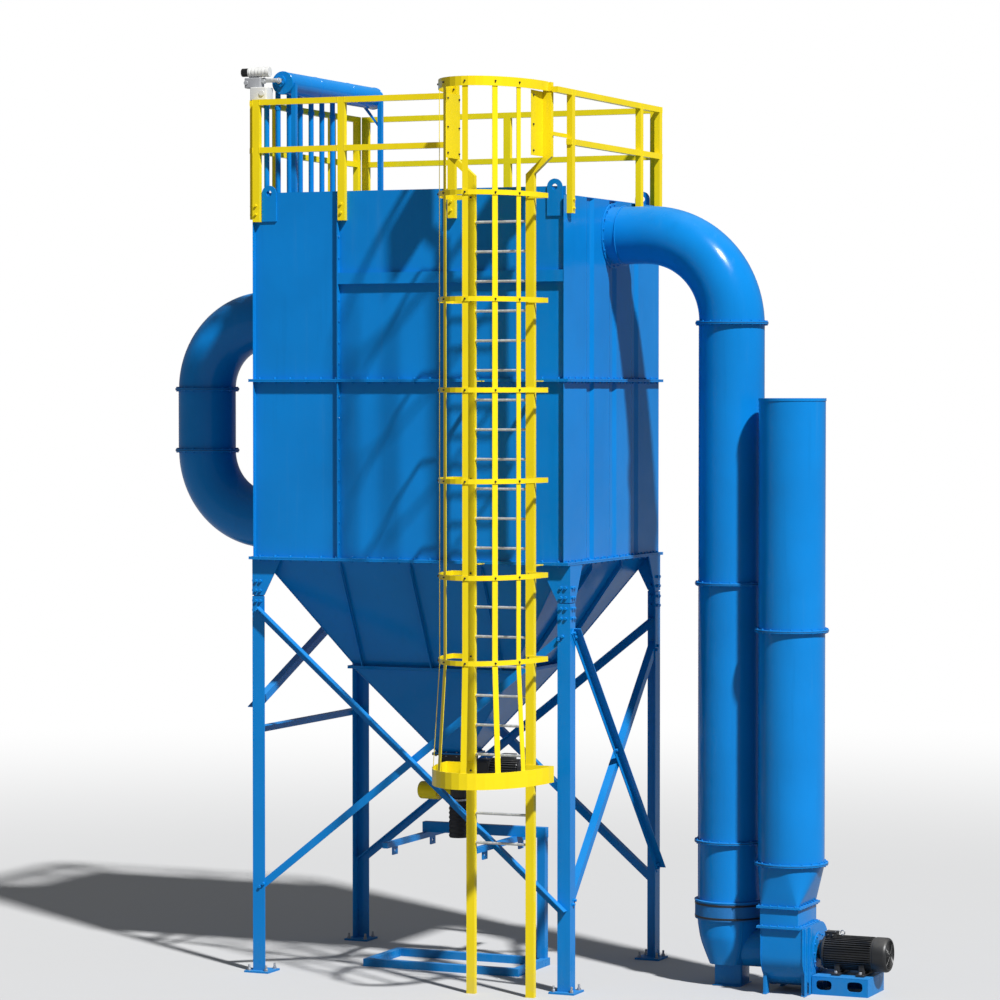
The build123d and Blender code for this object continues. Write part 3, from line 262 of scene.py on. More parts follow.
def bolted(form, places, axis, seed=3):
    """A copy of a form at each place, its +Z along the axis, turned by a seeded random angle."""
    points, groups = form
    places = np.asarray(places, float).reshape(-1, 3)
    u, v, w = basis(axis)
    parts = []
    for place, spin in zip(places, np.random.default_rng(seed).uniform(0, pi, len(places))):
        turn = cos(spin) * u + sin(spin) * v
        parts.append((points @ np.stack([turn, np.cross(w, turn), w]) + place, groups))
    return joined(parts)


def build(name, parts, slot="blue_paint", replaced=(), finish=None, crease=32.0):
    """Makes the mesh object, shades it smooth up to the crease angle and fixes it to the frame."""
    points, groups = joined(parts)
    mesh = bpy.data.meshes.new(name)
    mesh.from_pydata(points.tolist(), [], [face for group in groups for face in group.tolist()])
    mesh.validate()
    mesh.shade_smooth()
    mesh.set_sharp_from_angle(angle=radians(crease))
    mesh.materials.append(bpy.data.materials[finish or slot_finish[slot]])
    piece = bpy.data.objects.new(name, mesh)
    bpy.context.scene.collection.objects.link(piece)
    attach(piece, "root")
    if replaced:
        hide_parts(*replaced)


# Shader nodes

class Wire:
    """A shader socket on which Python's operators work: each adds one Math node."""

    def __init__(self, paint, socket):
        self.paint = paint
        self.socket = socket

    def math(self, operation, *values, clamp=False):
        """Adds a Math node fed with the values and gives its result."""
        node = self.paint.tree.nodes.new("ShaderNodeMath")
        node.operation = operation
        node.use_clamp = clamp
        for k, value in enumerate(values):
            self.paint.feed(node.inputs[k], value)
        return Wire(self.paint, node.outputs[0])

    def __add__(self, other):
        return self.math("ADD", self, other)

    def __mul__(self, other):
        return self.math("MULTIPLY", self, other)

    __radd__ = __add__
    __rmul__ = __mul__

    def clamp(self):
        """The value kept between 0 and 1."""
        return self.math("ADD", self, 0.0, clamp=True)


class Paint:
    """The nodes of a material or of the world: one method adds any node and fills its sockets."""

    def __init__(self, owner):
        owner.use_nodes = True
        self.owner = owner
        self.tree = owner.node_tree
        self.tree.nodes.clear()
        self.place = self.node("TexCoord")["Object"]

    def feed(self, socket, value):
        """Links a wire to the socket, or sets a plain value on it."""
        if isinstance(value, Wire):
            self.tree.links.new(value.socket, socket)
        elif value is not None:
            socket.default_value = value

    def node(self, kind, settings=None, **sockets):
        """Adds ShaderNode + kind, makes its settings and feeds sockets by name or, as n0, by number."""
        node = self.tree.nodes.new("ShaderNode" + kind)
        for key, value in (settings or {}).items():
            setattr(node, key, value)
        for key, value in sockets.items():
            numbered = key[0] == "n" and key[1:].isdigit()
            self.feed(node.inputs[int(key[1:]) if numbered else key.replace("_", " ")], value)
        return {output.name: Wire(self, output) for output in node.outputs}

    def noise(self, scale, detail=3.0, roughness=0.55, stretch=(1, 1, 1)):
        """Fractal noise on object coordinates, one cell about 1 / scale metres."""
        vector = self.node("VectorMath", {"operation": "MULTIPLY"}, n0=self.place,
                           n1=tuple(scale * s for s in stretch))["Vector"]
        return self.node("TexNoise", None, Vector=vector, Scale=1.0, Detail=detail,
                         Roughness=roughness)["Fac"]

    def ramp(self, value, low, high):
        """Smooth step from 0 at low to 1 at high."""
        return self.node("MapRange", {"interpolation_type": "SMOOTHSTEP"}, Value=value, n1=low,
                         n2=high)["Result"]

    def mix(self, factor, first, second):
        """Colour from first to second by factor."""
        node = self.tree.nodes.new("ShaderNodeMix")
        node.data_type = "RGBA"
        for k, value in ((0, factor), (6, first), (7, second)):
            self.feed(node.inputs[k], value)
        return Wire(self, node.outputs[2])

    def split(self, vector):
        """The parts of a vector, by X, Y and Z."""
        return self.node("SeparateXYZ", None, Vector=vector)

    def facing(self):
        """How far a face looks up: 1 on top, -1 underneath."""
        return self.split(self.node("NewGeometry")["Normal"])["Z"]

    def bump(self, height, distance, strength=1.0, normal=None):
        """Normal of a relief of the given depth in metres, over an earlier one where there is one."""
        return self.node("Bump", None, Strength=strength, Distance=distance, Height=height,
                         Normal=normal)["Normal"]

    def finish(self, colour, roughness, normal, **constants):
        """Principled shader to the output, with constants on the shader's own sockets."""
        shader = self.node("BsdfPrincipled", None, Base_Color=colour, Roughness=roughness,
                           Normal=normal, **constants)
        self.node("OutputMaterial", None, Surface=shader["BSDF"])


def rgba(colour, scale=1.0):
    """A colour with alpha, made lighter or darker by scale."""
    return (colour[0] * scale, colour[1] * scale, colour[2] * scale, 1.0)


def new_paint(name):
    """The empty node tree of a new material."""
    return Paint(bpy.data.materials.new(name))


def enamel(name, colour, dust, weathering, chips, dents=1.0, tread=0.0):
    """Sprayed enamel on steel plate.

    Colour: the paint, a few percent lighter and darker in cloud about 1 m wide, paler in thin upright
    runs where rain has washed dust down, dulled by dust on faces that look up and by splash in the
    lowest half metre. Roughness follows the dust. Bump: dents about 0.4 m wide, the fine skin of
    sprayed paint and, where tread is set, raised lozenges on the faces that look up.
    """
    paint = new_paint(name)
    place = paint.split(paint.place)
    facing = paint.facing()
    cloud = paint.noise(0.9, 4.0)
    fine = paint.noise(7.0, 5.0, 0.6)
    runs = paint.noise(1.0, 4.0, 0.6, (9.0, 9.0, 0.55))
    splash = paint.ramp(place["Z"], 0.55, 0.02) * paint.ramp(fine + cloud, 0.75, 1.25)
    lying = paint.ramp(facing, 0.45, 0.95) * paint.ramp(cloud + fine * 0.5, 0.35, 0.95)
    base = paint.mix(paint.ramp(cloud, 0.3, 0.7), rgba(colour, 0.94), rgba(colour, 1.05))
    for mask, amount, tone in ((paint.ramp(runs, 0.58, 0.76), 0.07, rgba(dust, 0.9)),
                               (paint.ramp(runs, 0.44, 0.28), 0.16, rgba(colour, 0.66)),
                               (lying, 0.26, rgba(dust)), (splash, 0.3, rgba(dust, 0.62))):
        base = paint.mix(mask * (amount * weathering), base, tone)
    wear = paint.ramp(paint.noise(26.0, 5.0, 0.7), 0.7, 0.74) * paint.ramp(cloud, 0.5, 0.62)
    base = paint.mix(wear * chips, base, (0.055, 0.04, 0.034, 1.0))
    rough = 0.14 + 0.08 * fine + 0.3 * lying + 0.2 * splash + 0.08 * paint.ramp(runs, 0.5, 0.75)
    dent = paint.bump(paint.noise(2.3, 2.0, 0.4), 0.02, 0.3 * dents)
    skin = paint.bump(paint.noise(150.0, 2.0), 0.0012, 0.2, dent)
    if tread:
        along, over = (place[axis] * 105.0 for axis in "XY")
        lozenge = along.math("SINE", along) * over.math("SINE", over)
        raised = paint.ramp(lozenge, 0.35, 0.6) * paint.ramp(facing, 0.8, 0.9)
        skin = paint.bump(raised, tread, 0.8, skin)
    paint.finish(base, rough.clamp(), skin, Specular_IOR_Level=0.18)


def zinc_coat(name, colour):
    """Galvanised steel: spangle of flat crystals a few centimetres wide."""
    paint = new_paint(name)
    crystals = paint.node("TexVoronoi", {"feature": "F1"}, Vector=paint.place, Scale=45.0)["Color"]
    tone = paint.split(crystals)["X"]
    fine = paint.noise(30.0, 4.0, 0.6)
    base = paint.mix(tone * 0.6 + fine * 0.4, rgba(colour, 0.72), rgba(colour, 1.1))
    paint.finish(base, 0.34 + 0.22 * tone, paint.bump(fine, 0.001, 0.3), Metallic=0.55)


def bolt_zinc(name, colour):
    """Plated bolts: bright grey with darker dirt in patches of a few millimetres."""
    paint = new_paint(name)
    fine = paint.noise(90.0, 3.0)
    base = paint.mix(paint.ramp(fine, 0.35, 0.65), rgba(colour, 0.55), rgba(colour))
    paint.finish(base, 0.35 + 0.3 * fine, paint.bump(fine, 0.0006, 0.4), Metallic=0.6)


def cast_skin(name, colour, scale, rough_low, rough_high, bump):
    """Matt cast or moulded skin: dusty patches over a fine grain."""
    paint = new_paint(name)
    patch = paint.noise(5.0, 4.0)
    grain = paint.noise(scale, 3.0)
    dusty = paint.ramp(paint.facing(), 0.2, 0.95) * paint.ramp(patch, 0.35, 0.7)
    base = paint.mix(grain * 0.5, rgba(colour, 0.8), rgba(colour, 1.25))
    base = paint.mix(dusty * 0.3, base, (0.19, 0.18, 0.165, 1.0))
    paint.finish(base, rough_low + (rough_high - rough_low) * patch, paint.bump(grain, 0.001, bump))


def coated_cloth(name, colour):
    """Coated cloth sleeve: threads of about 4 mm that run round it, patchy in tone."""
    paint = new_paint(name)
    weft = paint.split(paint.place)["Z"] * 1500.0
    patch = paint.noise(6.0, 4.0)
    base = paint.mix(patch, rgba(colour, 0.8), rgba(colour, 1.12))
    paint.finish(base, 0.55 + 0.2 * patch, paint.bump(weft.math("SINE", weft), 0.0012, 0.4))


# Settings a user would change

def tint(name, about, default):
    return FloatVectorProperty(name=name, description=about, subtype="COLOR", size=3, default=default,
                               min=0, max=1)


def metres(name, about, default):
    return FloatProperty(name=name, description=about, default=default, min=0.001, unit="LENGTH")


def angle(name, about, default):
    return FloatProperty(name=name, description=about, default=default, subtype="ANGLE")


def strength(name, about, default):
    return FloatProperty(name=name, description=about, default=default, min=0.0)


class PaintSettings(bpy.types.PropertyGroup):
    """Colours and weathering of the finishes."""

    blue: tint("Blue enamel", "Paint of housing, hopper, legs, ducts and stack", (0.003, 0.19, 0.55))
    blue_dust: tint("Dust on blue", "Dust that lies on the blue enamel", (0.1, 0.3, 0.52))
    yellow: tint("Yellow enamel", "Paint of ladder, cage and guard rails", (0.82, 0.64, 0.01))
    yellow_dust: tint("Dust on yellow", "Dust that lies on the yellow enamel", (0.62, 0.55, 0.28))
    zinc: tint("Zinc", "Galvanised rungs and fittings", (0.62, 0.64, 0.65))
    black: tint("Motor black", "Paint of motors and gearbox", (0.018, 0.019, 0.021))
    weathering: strength("Weathering", "Strength of runs, dust and splash", 1.0)


class DuctSettings(bpy.types.PropertyGroup):
    """Sizes of the round ducts and the stack."""

    wall: metres("Sheet", "Thickness of the duct sheet", 0.004)
    flange_width: metres("Flange width", "How far a flange stands off the duct", 0.038)
    flange_thick: metres("Flange thickness", "Thickness of one flange", 0.014)
    collar_width: metres("Wall collar", "Collar of the left duct on the wall", 0.022)
    left_bend: metres("Left bend", "Bend radius of the left duct", 0.75)
    right_bend: metres("Right bend", "Bend radius of the right duct", 0.92)
    right_stub: metres("Right stub", "Radius of the right duct where it meets the wall", 0.3)
    stack_wall: metres("Stack sheet", "Thickness of the stack sheet", 0.005)


class BoltSettings(bpy.types.PropertyGroup):
    """Widths across flats and spacing of the bolts."""

    housing: metres("Housing bolts", "Across flats", 0.024)
    duct: metres("Duct bolts", "Across flats", 0.017)
    frame: metres("Frame bolts", "Across flats of leg and brace bolts", 0.03)
    anchor: metres("Anchor nuts", "Across flats", 0.034)
    pitch: metres("Flange pitch", "Spacing along the housing flanges", 0.175)
    duct_pitch: metres("Duct pitch", "Spacing round the duct flanges", 0.11)


class FanSettings(bpy.types.PropertyGroup):
    """Levels and sizes of the fan, its outlet, the stack joints and the motor."""

    top: metres("Top", "Top of the scroll", 0.702)
    collar_top: metres("Collar top", "Top of the square outlet collar", 0.905)
    stack_round: metres("Round joint", "Level where the stack becomes round", 1.33)
    stack_joint: metres("Stack joint", "Level of the joint of the two lengths of stack", 3.705)
    outlet_x: metres("Outlet width", "Width of the square outlet along X", 0.41)
    outlet_y: metres("Outlet depth", "Width of the square outlet along Y", 0.588)
    motor_radius: metres("Motor radius", "Radius over the fins of the motor", 0.177)
    motor_end: metres("Motor end", "X of the end of the body of the motor", 4.67)
    cowl_end: metres("Cowl end", "X of the end of the cowl", 4.815)


class StageSettings(bpy.types.PropertyGroup):
    """Camera, lamps and floor."""

    eye: FloatVectorProperty(name="Eye", description="Camera place from the middle of the legs",
                             subtype="XYZ", size=3, default=(15.673, -35.2353, 6.1427))
    turn: angle("Turn", "Camera turn about the upright", 0.4071)
    dip: angle("Dip", "Camera tilt below level", 0.0302)
    lens: FloatProperty(name="Lens", description="Focal length in millimetres", default=130.24, min=10.0)
    sun: strength("Sun", "Strength of the main lamp", 5.5)
    fill: strength("Fill", "Strength of the even light all round", 0.2)
    sun_side: angle("Sun side", "Lamp direction from the front towards +X", radians(56))
    sun_height: angle("Sun height", "Lamp height above level", radians(50))
    softness: angle("Softness", "Width of the lamp as seen from the object", radians(3))


# Paint of the frame

class COLLECTOR_OT_paint(bpy.types.Operator):
    """Makes the finishes and puts them on the pieces of the frame"""

    bl_idname = "collector.paint"
    bl_label = "Paint the frame"

    def execute(self, context):
        s = context.scene.collector_paint
        enamel("blue_enamel", s.blue, s.blue_dust, s.weathering, 0.5)
        enamel("yellow_enamel", s.yellow, s.yellow_dust, s.weathering, 0.7, dents=0.2)
        enamel("roof_enamel", s.blue, s.blue_dust, s.weathering, 0.6, tread=0.003)
        zinc_coat("zinc_coating", s.zinc)
        bolt_zinc("plated_bolts", (0.45, 0.47, 0.5))
        coated_cloth("cloth_sleeve", (s.blue[0] * 0.9, s.blue[1] * 0.8, s.blue[2] * 0.8))
        for name, colour, scale, rough_low, rough_high, bump in (
                ("black_enamel", s.black, 60.0, 0.3, 0.5, 0.3),
                ("black_rubber", (0.014, 0.014, 0.015), 120.0, 0.55, 0.8, 0.4),
                ("pale_casting", (0.72, 0.72, 0.7), 70.0, 0.35, 0.55, 0.3),
                ("grey_casting", (0.36, 0.37, 0.39), 70.0, 0.35, 0.55, 0.3),
                ("joint_filler", (0.012, 0.013, 0.016), 90.0, 0.6, 0.8, 0.5)):
            cast_skin(name, colour, scale, rough_low, rough_high, bump)
        slots = {row["node"]: row["material_slot"] for row in frame["record"]["subparts"]}
        for name, piece in frame["nodes"].items():
            finish = "roof_enamel" if name == "roof" else slot_finish[slots[name]]
            piece.data.materials.clear()
            piece.data.materials.append(bpy.data.materials[finish])
        return {"FINISHED"}


# Ducts and stack

GASKET_LIP = 0.0012  # how far a gasket stands out of its joint
OUTLET_FLANGE = 0.012  # thickness of the flanges of the square outlet


def round_box(node):
    """Middle, half width and levels of a round upright node, with room for the lip of its gasket."""
    low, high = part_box(node)
    half = (high[1] - low[1]) / 2 - GASKET_LIP
    return (low[0] + high[0]) / 2, (low[1] + high[1]) / 2, half, low[2], high[2]


def quarter_bend(corner, radius, start, end, count=36):
    """Centres and tangents on a quarter circle in an XZ plane: corner + radius * (cos a, 0, sin a)."""
    a = np.linspace(radians(start), radians(end), count)
    sense = 1.0 if end > start else -1.0
    centres = np.stack([corner[0] + radius * np.cos(a), np.full(count, corner[1]),
                        corner[2] + radius * np.sin(a)], -1)
    return centres, sense * np.stack([-np.sin(a), np.zeros(count), np.cos(a)], -1)


class COLLECTOR_OT_ducts(bpy.types.Operator):
    """Replaces the round ducts and the stack by smooth sheet with rolled flanges"""

    bl_idname = "collector.ducts"
    bl_label = "Dress the ducts"

    def execute(self, context):
        s = context.scene.collector_duct
        self.left_bends(s)
        self.straight("left_straight_duct", "left_duct_middle", s)
        self.right_bend(s)
        for level in ("upper", "middle", "lower"):
            self.straight(f"right_{level}_duct", f"right_duct_{level}", s)
        self.stack(s, context.scene.collector_fan)
        return {"FINISHED"}

    def length(self, s, x, y, half, low, high, wall, flanges, seam_angle):
        """Parts of an upright length: pipe, flanges at the given levels and a weld down its side."""
        radius = half - s.flange_width
        seam = (x + radius * cos(radians(seam_angle)), y + radius * sin(radians(seam_angle)))
        return [pipe(x, y, low, high, radius, wall),
                *(hoop((x, y, z), UP, radius - wall, half, s.flange_thick) for z in flanges),
                weld((*seam, low + s.flange_thick), (*seam, high - s.flange_thick))]

    def straight(self, name, node, s):
        """Length of duct with a flange at each end."""
        x, y, half, low, high = round_box(node)
        flanges = (low, high - s.flange_thick)
        build(name, self.length(s, x, y, half, low, high, s.wall, flanges, 205), replaced=[node])

    def stack(self, s, f):
        """Two lengths of stack; the upper one has a stiffening rim at its mouth."""
        x, y, half = round_box("stack_lower")[:3]
        top, rim, seam_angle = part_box("stack_upper")[1][2], 0.03, 150
        radius = half - s.flange_width
        flanges = (f.stack_round, f.stack_joint - s.flange_thick)
        build("stack_low_length", self.length(s, x, y, half, f.stack_round, f.stack_joint, s.stack_wall,
                                              flanges, seam_angle), replaced=["stack_lower"])
        build("stack_high_length", [
            *self.length(s, x, y, half, f.stack_joint, top, s.stack_wall, (f.stack_joint,), seam_angle),
            hoop((x, y, top - rim), UP, radius - s.stack_wall, radius + 0.006, rim)],
            replaced=["stack_upper"])

    def left_bends(self, s):
        """Two bends that run from the straight length into the left wall."""
        x, y, half, low, high = round_box("left_duct_middle")
        radius, inner = half - s.flange_width, half - s.flange_width - s.wall
        wall_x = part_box("upper_left_wall")[0][0]
        for name, node, z, end, side in (("left_high_elbow", "left_duct_high_bend", high, 90, 1),
                                         ("left_low_elbow", "left_duct_low_bend", low, 270, -1)):
            mouth = (wall_x, y, z + side * s.left_bend)
            centres, tangents = quarter_bend((x + s.left_bend, y, z), s.left_bend, 180, end)
            centres = np.concatenate([centres, [mouth]])
            tangents = np.concatenate([tangents, tangents[-1:]])
            build(name, [bent_tube(centres, tangents, np.full(len(centres), radius), s.wall),
                         hoop((x, y, z), (0, 0, side), inner, half, s.flange_thick),
                         hoop(mouth, WEST, inner, radius + s.collar_width, s.flange_thick)],
                  replaced=[node])

    def right_bend(self, s):
        """Bend that leaves the right wall as a narrower stub and widens to the duct."""
        x, y, half, _, high = round_box("right_duct_upper")
        radius, stub, seam_at = half - s.flange_width, s.right_stub, 0.125
        mouth = np.array([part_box("upper_right_wall")[1][0], y, high + s.right_bend])
        centres, tangents = quarter_bend((x - s.right_bend, y, high), s.right_bend, 90, 0)
        centres = np.concatenate([[mouth], centres])
        tangents = np.concatenate([tangents[:1], tangents])
        radii = np.concatenate([[stub], np.linspace(stub, radius, len(centres) - 1)])
        build("right_elbow", [
            bent_tube(centres, tangents, radii, s.wall),
            hoop((x, y, high), UP, radius - s.wall, half, s.flange_thick),
            hoop(mouth, EAST, stub - s.wall, stub + s.flange_width, s.flange_thick),
            hoop(mouth + [seam_at, 0, 0], EAST, stub - s.wall, stub + 0.012, 0.012, 0.004)],
            replaced=["right_duct_bend"])


# Bolts

LEG_X, LEG_Y = 1.81, 1.285


class COLLECTOR_OT_bolts(bpy.types.Operator):
    """Puts bolts on the housing flanges, joints of the walls, ducts, stack, legs and braces"""

    bl_idname = "collector.bolts"
    bl_label = "Add the bolts"

    def execute(self, context):
        s = context.scene.collector_bolt
        self.housing(s)
        self.ducts(s, context.scene.collector_duct, context.scene.collector_fan)
        self.legs(s)
        return {"FINISHED"}

    def housing(self, s):
        """Rows round both housing flanges, and down the upright joints of the front and back walls."""
        form, small, inset, half_sheet = bolt_form(s.housing), bolt_form(s.duct), 0.028, 0.006
        for name, node in (("middle_flange_bolts", "mid_flange"),
                           ("hopper_flange_bolts", "hopper_flange")):
            low, high = (np.array(corner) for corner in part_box(node))
            places = np.concatenate([line_places((*a, 0), (*b, 0), s.pitch)
                                     for a, b in sides(low + inset, high - inset)])
            build(name, [bolted(form, places + [0, 0, high[2]], UP),
                         bolted(form, places + [0, 0, low[2]], DOWN)])
        parts = []
        for node, face in (("upper_front_wall", -1), ("upper_back_wall", 1), ("lower_front_wall", -1),
                           ("lower_back_wall", 1)):
            low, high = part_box(node)
            x, y, _ = site(face * 0.78, face * 1.328, 0)
            run = line_places((x, y, low[2] + 0.05), (x, y, high[2] - 0.05), s.pitch * 1.3)
            parts += [bolted(small, run + [way * half_sheet, 0, 0], (way, 0, 0)) for way in (1, -1)]
        build("wall_joint_bolts", parts)

    def ducts(self, s, duct, f):
        """Bolts round every duct and stack flange, with a dark gasket in each joint."""
        form = bolt_form(s.duct)
        bolts, gaskets, joints = [], [], []
        for node in ("left_duct_middle", "right_duct_upper", "right_duct_lower"):
            x, y, half, low, high = round_box(node)
            levels = (high,) if node == "right_duct_lower" else (high, low)
            joints += [(x, y, z, half) for z in levels]
        x, y, half = round_box("stack_lower")[:3]
        joints += [(x, y, f.stack_round, half), (x, y, f.stack_joint, half)]
        for x, y, z, half in joints:
            ring = half - duct.flange_width * 0.45
            places = circle_places((x, y, z), UP, ring, int(2 * pi * ring / s.duct_pitch))
            bolts += [bolted(form, places + [0, 0, way * duct.flange_thick], (0, 0, way))
                      for way in (1, -1)]
            gaskets.append(hoop((x, y, z - 0.002), UP, half - 0.03, half + GASKET_LIP, 0.004, 0.0005))
        y, high = round_box("right_duct_upper")[1], round_box("right_duct_upper")[4]
        at = (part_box("upper_right_wall")[1][0] + duct.flange_thick, y, high + duct.right_bend)
        places = circle_places(at, EAST, duct.right_stub + duct.flange_width * 0.55, 18)
        bolts.append(bolted(form, places, EAST))
        rim, pitch = 0.016, 0.09
        hx, hy = f.outlet_x / 2 + rim, f.outlet_y / 2 + rim
        for level in (f.top, f.collar_top):
            for way in (1, -1):
                for a, b in sides((-hx, -hy), (hx, hy)):
                    run = line_places((*a, 0), (*b, 0), pitch) + outlet_centre(f)
                    bolts.append(bolted(form, run + [0, 0, level + way * OUTLET_FLANGE], (0, 0, way)))
        build("duct_bolts", bolts)
        build("duct_gaskets", gaskets, "black_rubber", finish="joint_filler")

    def legs(self, s):
        """Anchor nuts on their studs, bolts through the leg splices and at the ends of the braces."""
        nut, bolt = bolt_form(s.anchor), bolt_form(s.frame)
        stud = turned([(0.011, 0.0), (0.012, 0.004), (0.012, 0.058), (0.010, 0.062)], (0, 0, 0), UP, 10)
        anchors, splices = [], []
        foot_inset, half_pattern, plate, splice = 0.07, 0.1, 0.02, 0.022
        splice_insets, splice_levels = (0.048, 0.1), (3.83, 3.93, 4.04, 4.14)
        brace_thick, end_bolts = 0.008, (0.03, 0.085)
        for sx, sy in CORNERS:
            foot = site(sx * (LEG_X - foot_inset), sy * (LEG_Y - foot_inset), plate)
            places = [foot + [a * half_pattern, b * half_pattern, 0] for a, b in CORNERS]
            anchors += [bolted(nut, places, UP), bolted(stud, places, UP)]
            for inset in splice_insets:
                for z in splice_levels:
                    x, y = sx * (LEG_X - inset), sy * (LEG_Y - inset)
                    splices += [bolted(bolt, site(x, sy * LEG_Y, z), (0, sy, 0)),
                                bolted(bolt, site(sx * LEG_X, y, z), (sx, 0, 0)),
                                bolted(bolt, site(x, sy * (LEG_Y - splice), z), (0, -sy, 0))]
        # Each brace: face, half run, levels at its two ends, whether it lies outside, crossing bolt
        falling, rising = (1.75, 3.84, 0.82, 1, 0.0), (1.75, 0.89, 3.665, 0, None)
        braces = [(axis, LEG_Y, *ends) for axis in (SOUTH, NORTH) for ends in (falling, rising)]
        braces += [(EAST, LEG_X, 1.225, 3.7, 0.97, 1, -0.04), (EAST, LEG_X, 1.225, 0.885, 3.415, 0, None),
                   (WEST, LEG_X, 1.225, 2.77, 3.8, 1, None)]
        for axis, plane, reach, z0, z1, outside, crossing in braces:
            slope = (z1 - z0) / (2 * reach)
            step = 1 / (1 + slope * slope) ** 0.5
            along = [end * (reach - run * step) for end in (-1, 1) for run in end_bolts]
            along += [] if crossing is None else [crossing]
            out, mid_z = plane + brace_thick * outside, (z0 + z1) / 2
            splices += [bolted(bolt, on_face(axis, u, out, mid_z + slope * u), axis) for u in along]
        build("anchor_nuts", anchors, "zinc", finish="plated_bolts")
        build("frame_bolts", splices)


# Welds

class COLLECTOR_OT_welds(bpy.types.Operator):
    """Runs weld beads along the hopper, the housing corners, the lifting lugs and the roof"""

    bl_idname = "collector.welds"
    bl_label = "Add the weld beads"

    def execute(self, context):
        self.hopper()
        self.housing()
        return {"FINISHED"}

    def hopper(self):
        """Beads down the corners, along the band and the flange, and on both sides of the ribs."""
        band_low, band_high = (corner[2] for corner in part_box("hopper_band"))
        flange_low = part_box("hopper_flange")[0][2]
        neck_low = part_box("lower_hopper")[0][2] + 0.014
        (top_x, top_y), (mid_x, mid_y), neck = (1.705, 1.24), (0.91, 0.66), 0.17
        parts = []
        for sx, sy in CORNERS:
            for (x0, y0, z0), (x1, y1, z1) in (((top_x, top_y, flange_low), (mid_x, mid_y, band_high)),
                                               ((mid_x, mid_y, band_low), (neck, neck, neck_low))):
                parts.append(weld(site(sx * x0, sy * y0, z0), site(sx * x1, sy * y1, z1), 0.007))
        for half_x, half_y, z in ((top_x, top_y, flange_low - 0.004), (mid_x, mid_y, band_high + 0.004),
                                  (mid_x, mid_y, band_low - 0.004)):
            parts += square_beads(half_x, half_y, z, 0.006)
        ribs = [((0, sy, 0), x, top_y, mid_y) for x in (-0.8, 0.0, 0.8) for sy in (-1, 1)]
        ribs += [((sx, 0, 0), y, top_x, mid_x) for y in (-0.42, 0.42) for sx in (-1, 1)]
        for axis, along, top, mid in ribs:
            for side in (-0.007, 0.007):
                parts.append(weld(on_face(axis, along + side, top, flange_low - 0.06),
                                  on_face(axis, along + side, mid, band_high), 0.005))
        build("hopper_welds", parts)

    def housing(self):
        """Beads round the lifting lugs, down the corners of the walls and across the roof."""
        parts = []
        lug_foot, lug_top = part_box("lifting_lugs")[0][2], 8.11
        face, half, bead_size = 1.301, 0.0825, 0.006
        for x, sy in ((-1.59, -1), (1.648, -1), (-1.59, 1), (1.59, 1)):
            for side in (-half, half):
                parts.append(weld(site(x + side, sy * face, lug_foot),
                                  site(x + side, sy * face, lug_top), bead_size))
            parts.append(weld(site(x - 0.08, sy * face, lug_foot),
                              site(x + 0.08, sy * face, lug_foot), bead_size))
        wall_x, wall_y = 1.7595, 1.3005
        for node in ("lower_front_wall", "upper_front_wall"):
            low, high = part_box(node)
            for sx, sy in CORNERS:
                x, y = sx * wall_x, sy * wall_y
                parts.append(weld(site(x, y, low[2]), site(x, y, high[2]), bead_size))
        roof_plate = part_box("upper_front_wall")[1][2] + 0.008
        roof_joint, roof_front, roof_back = 0.6, -1.285, 1.295
        for x in (-roof_joint, roof_joint):
            parts.append(weld(site(x, roof_front, roof_plate), site(x, roof_back, roof_plate)))
        parts.append(weld(site(-1.76, -1.289, roof_plate), site(1.76, -1.289, roof_plate), 0.005))
        build("housing_welds", parts)


# Ladder and rails

LADDER_X = 1.19


def cage_facet(k, grow, z, half=0.52, depth=0.95, count=24):
    """Middle and outward direction of facet k, whose corners lie on (-half cos t, -depth sin t)."""
    t = np.array([k, k + 1]) * pi / count
    corners = np.stack([LADDER_X - half * np.cos(t), -1.65 - depth * np.sin(t)], -1)
    run = corners[1] - corners[0]
    out = np.array([run[1], -run[0]]) / np.linalg.norm(run)
    return site(*(corners.mean(0) + out * grow), z), np.array([*out, 0.0])


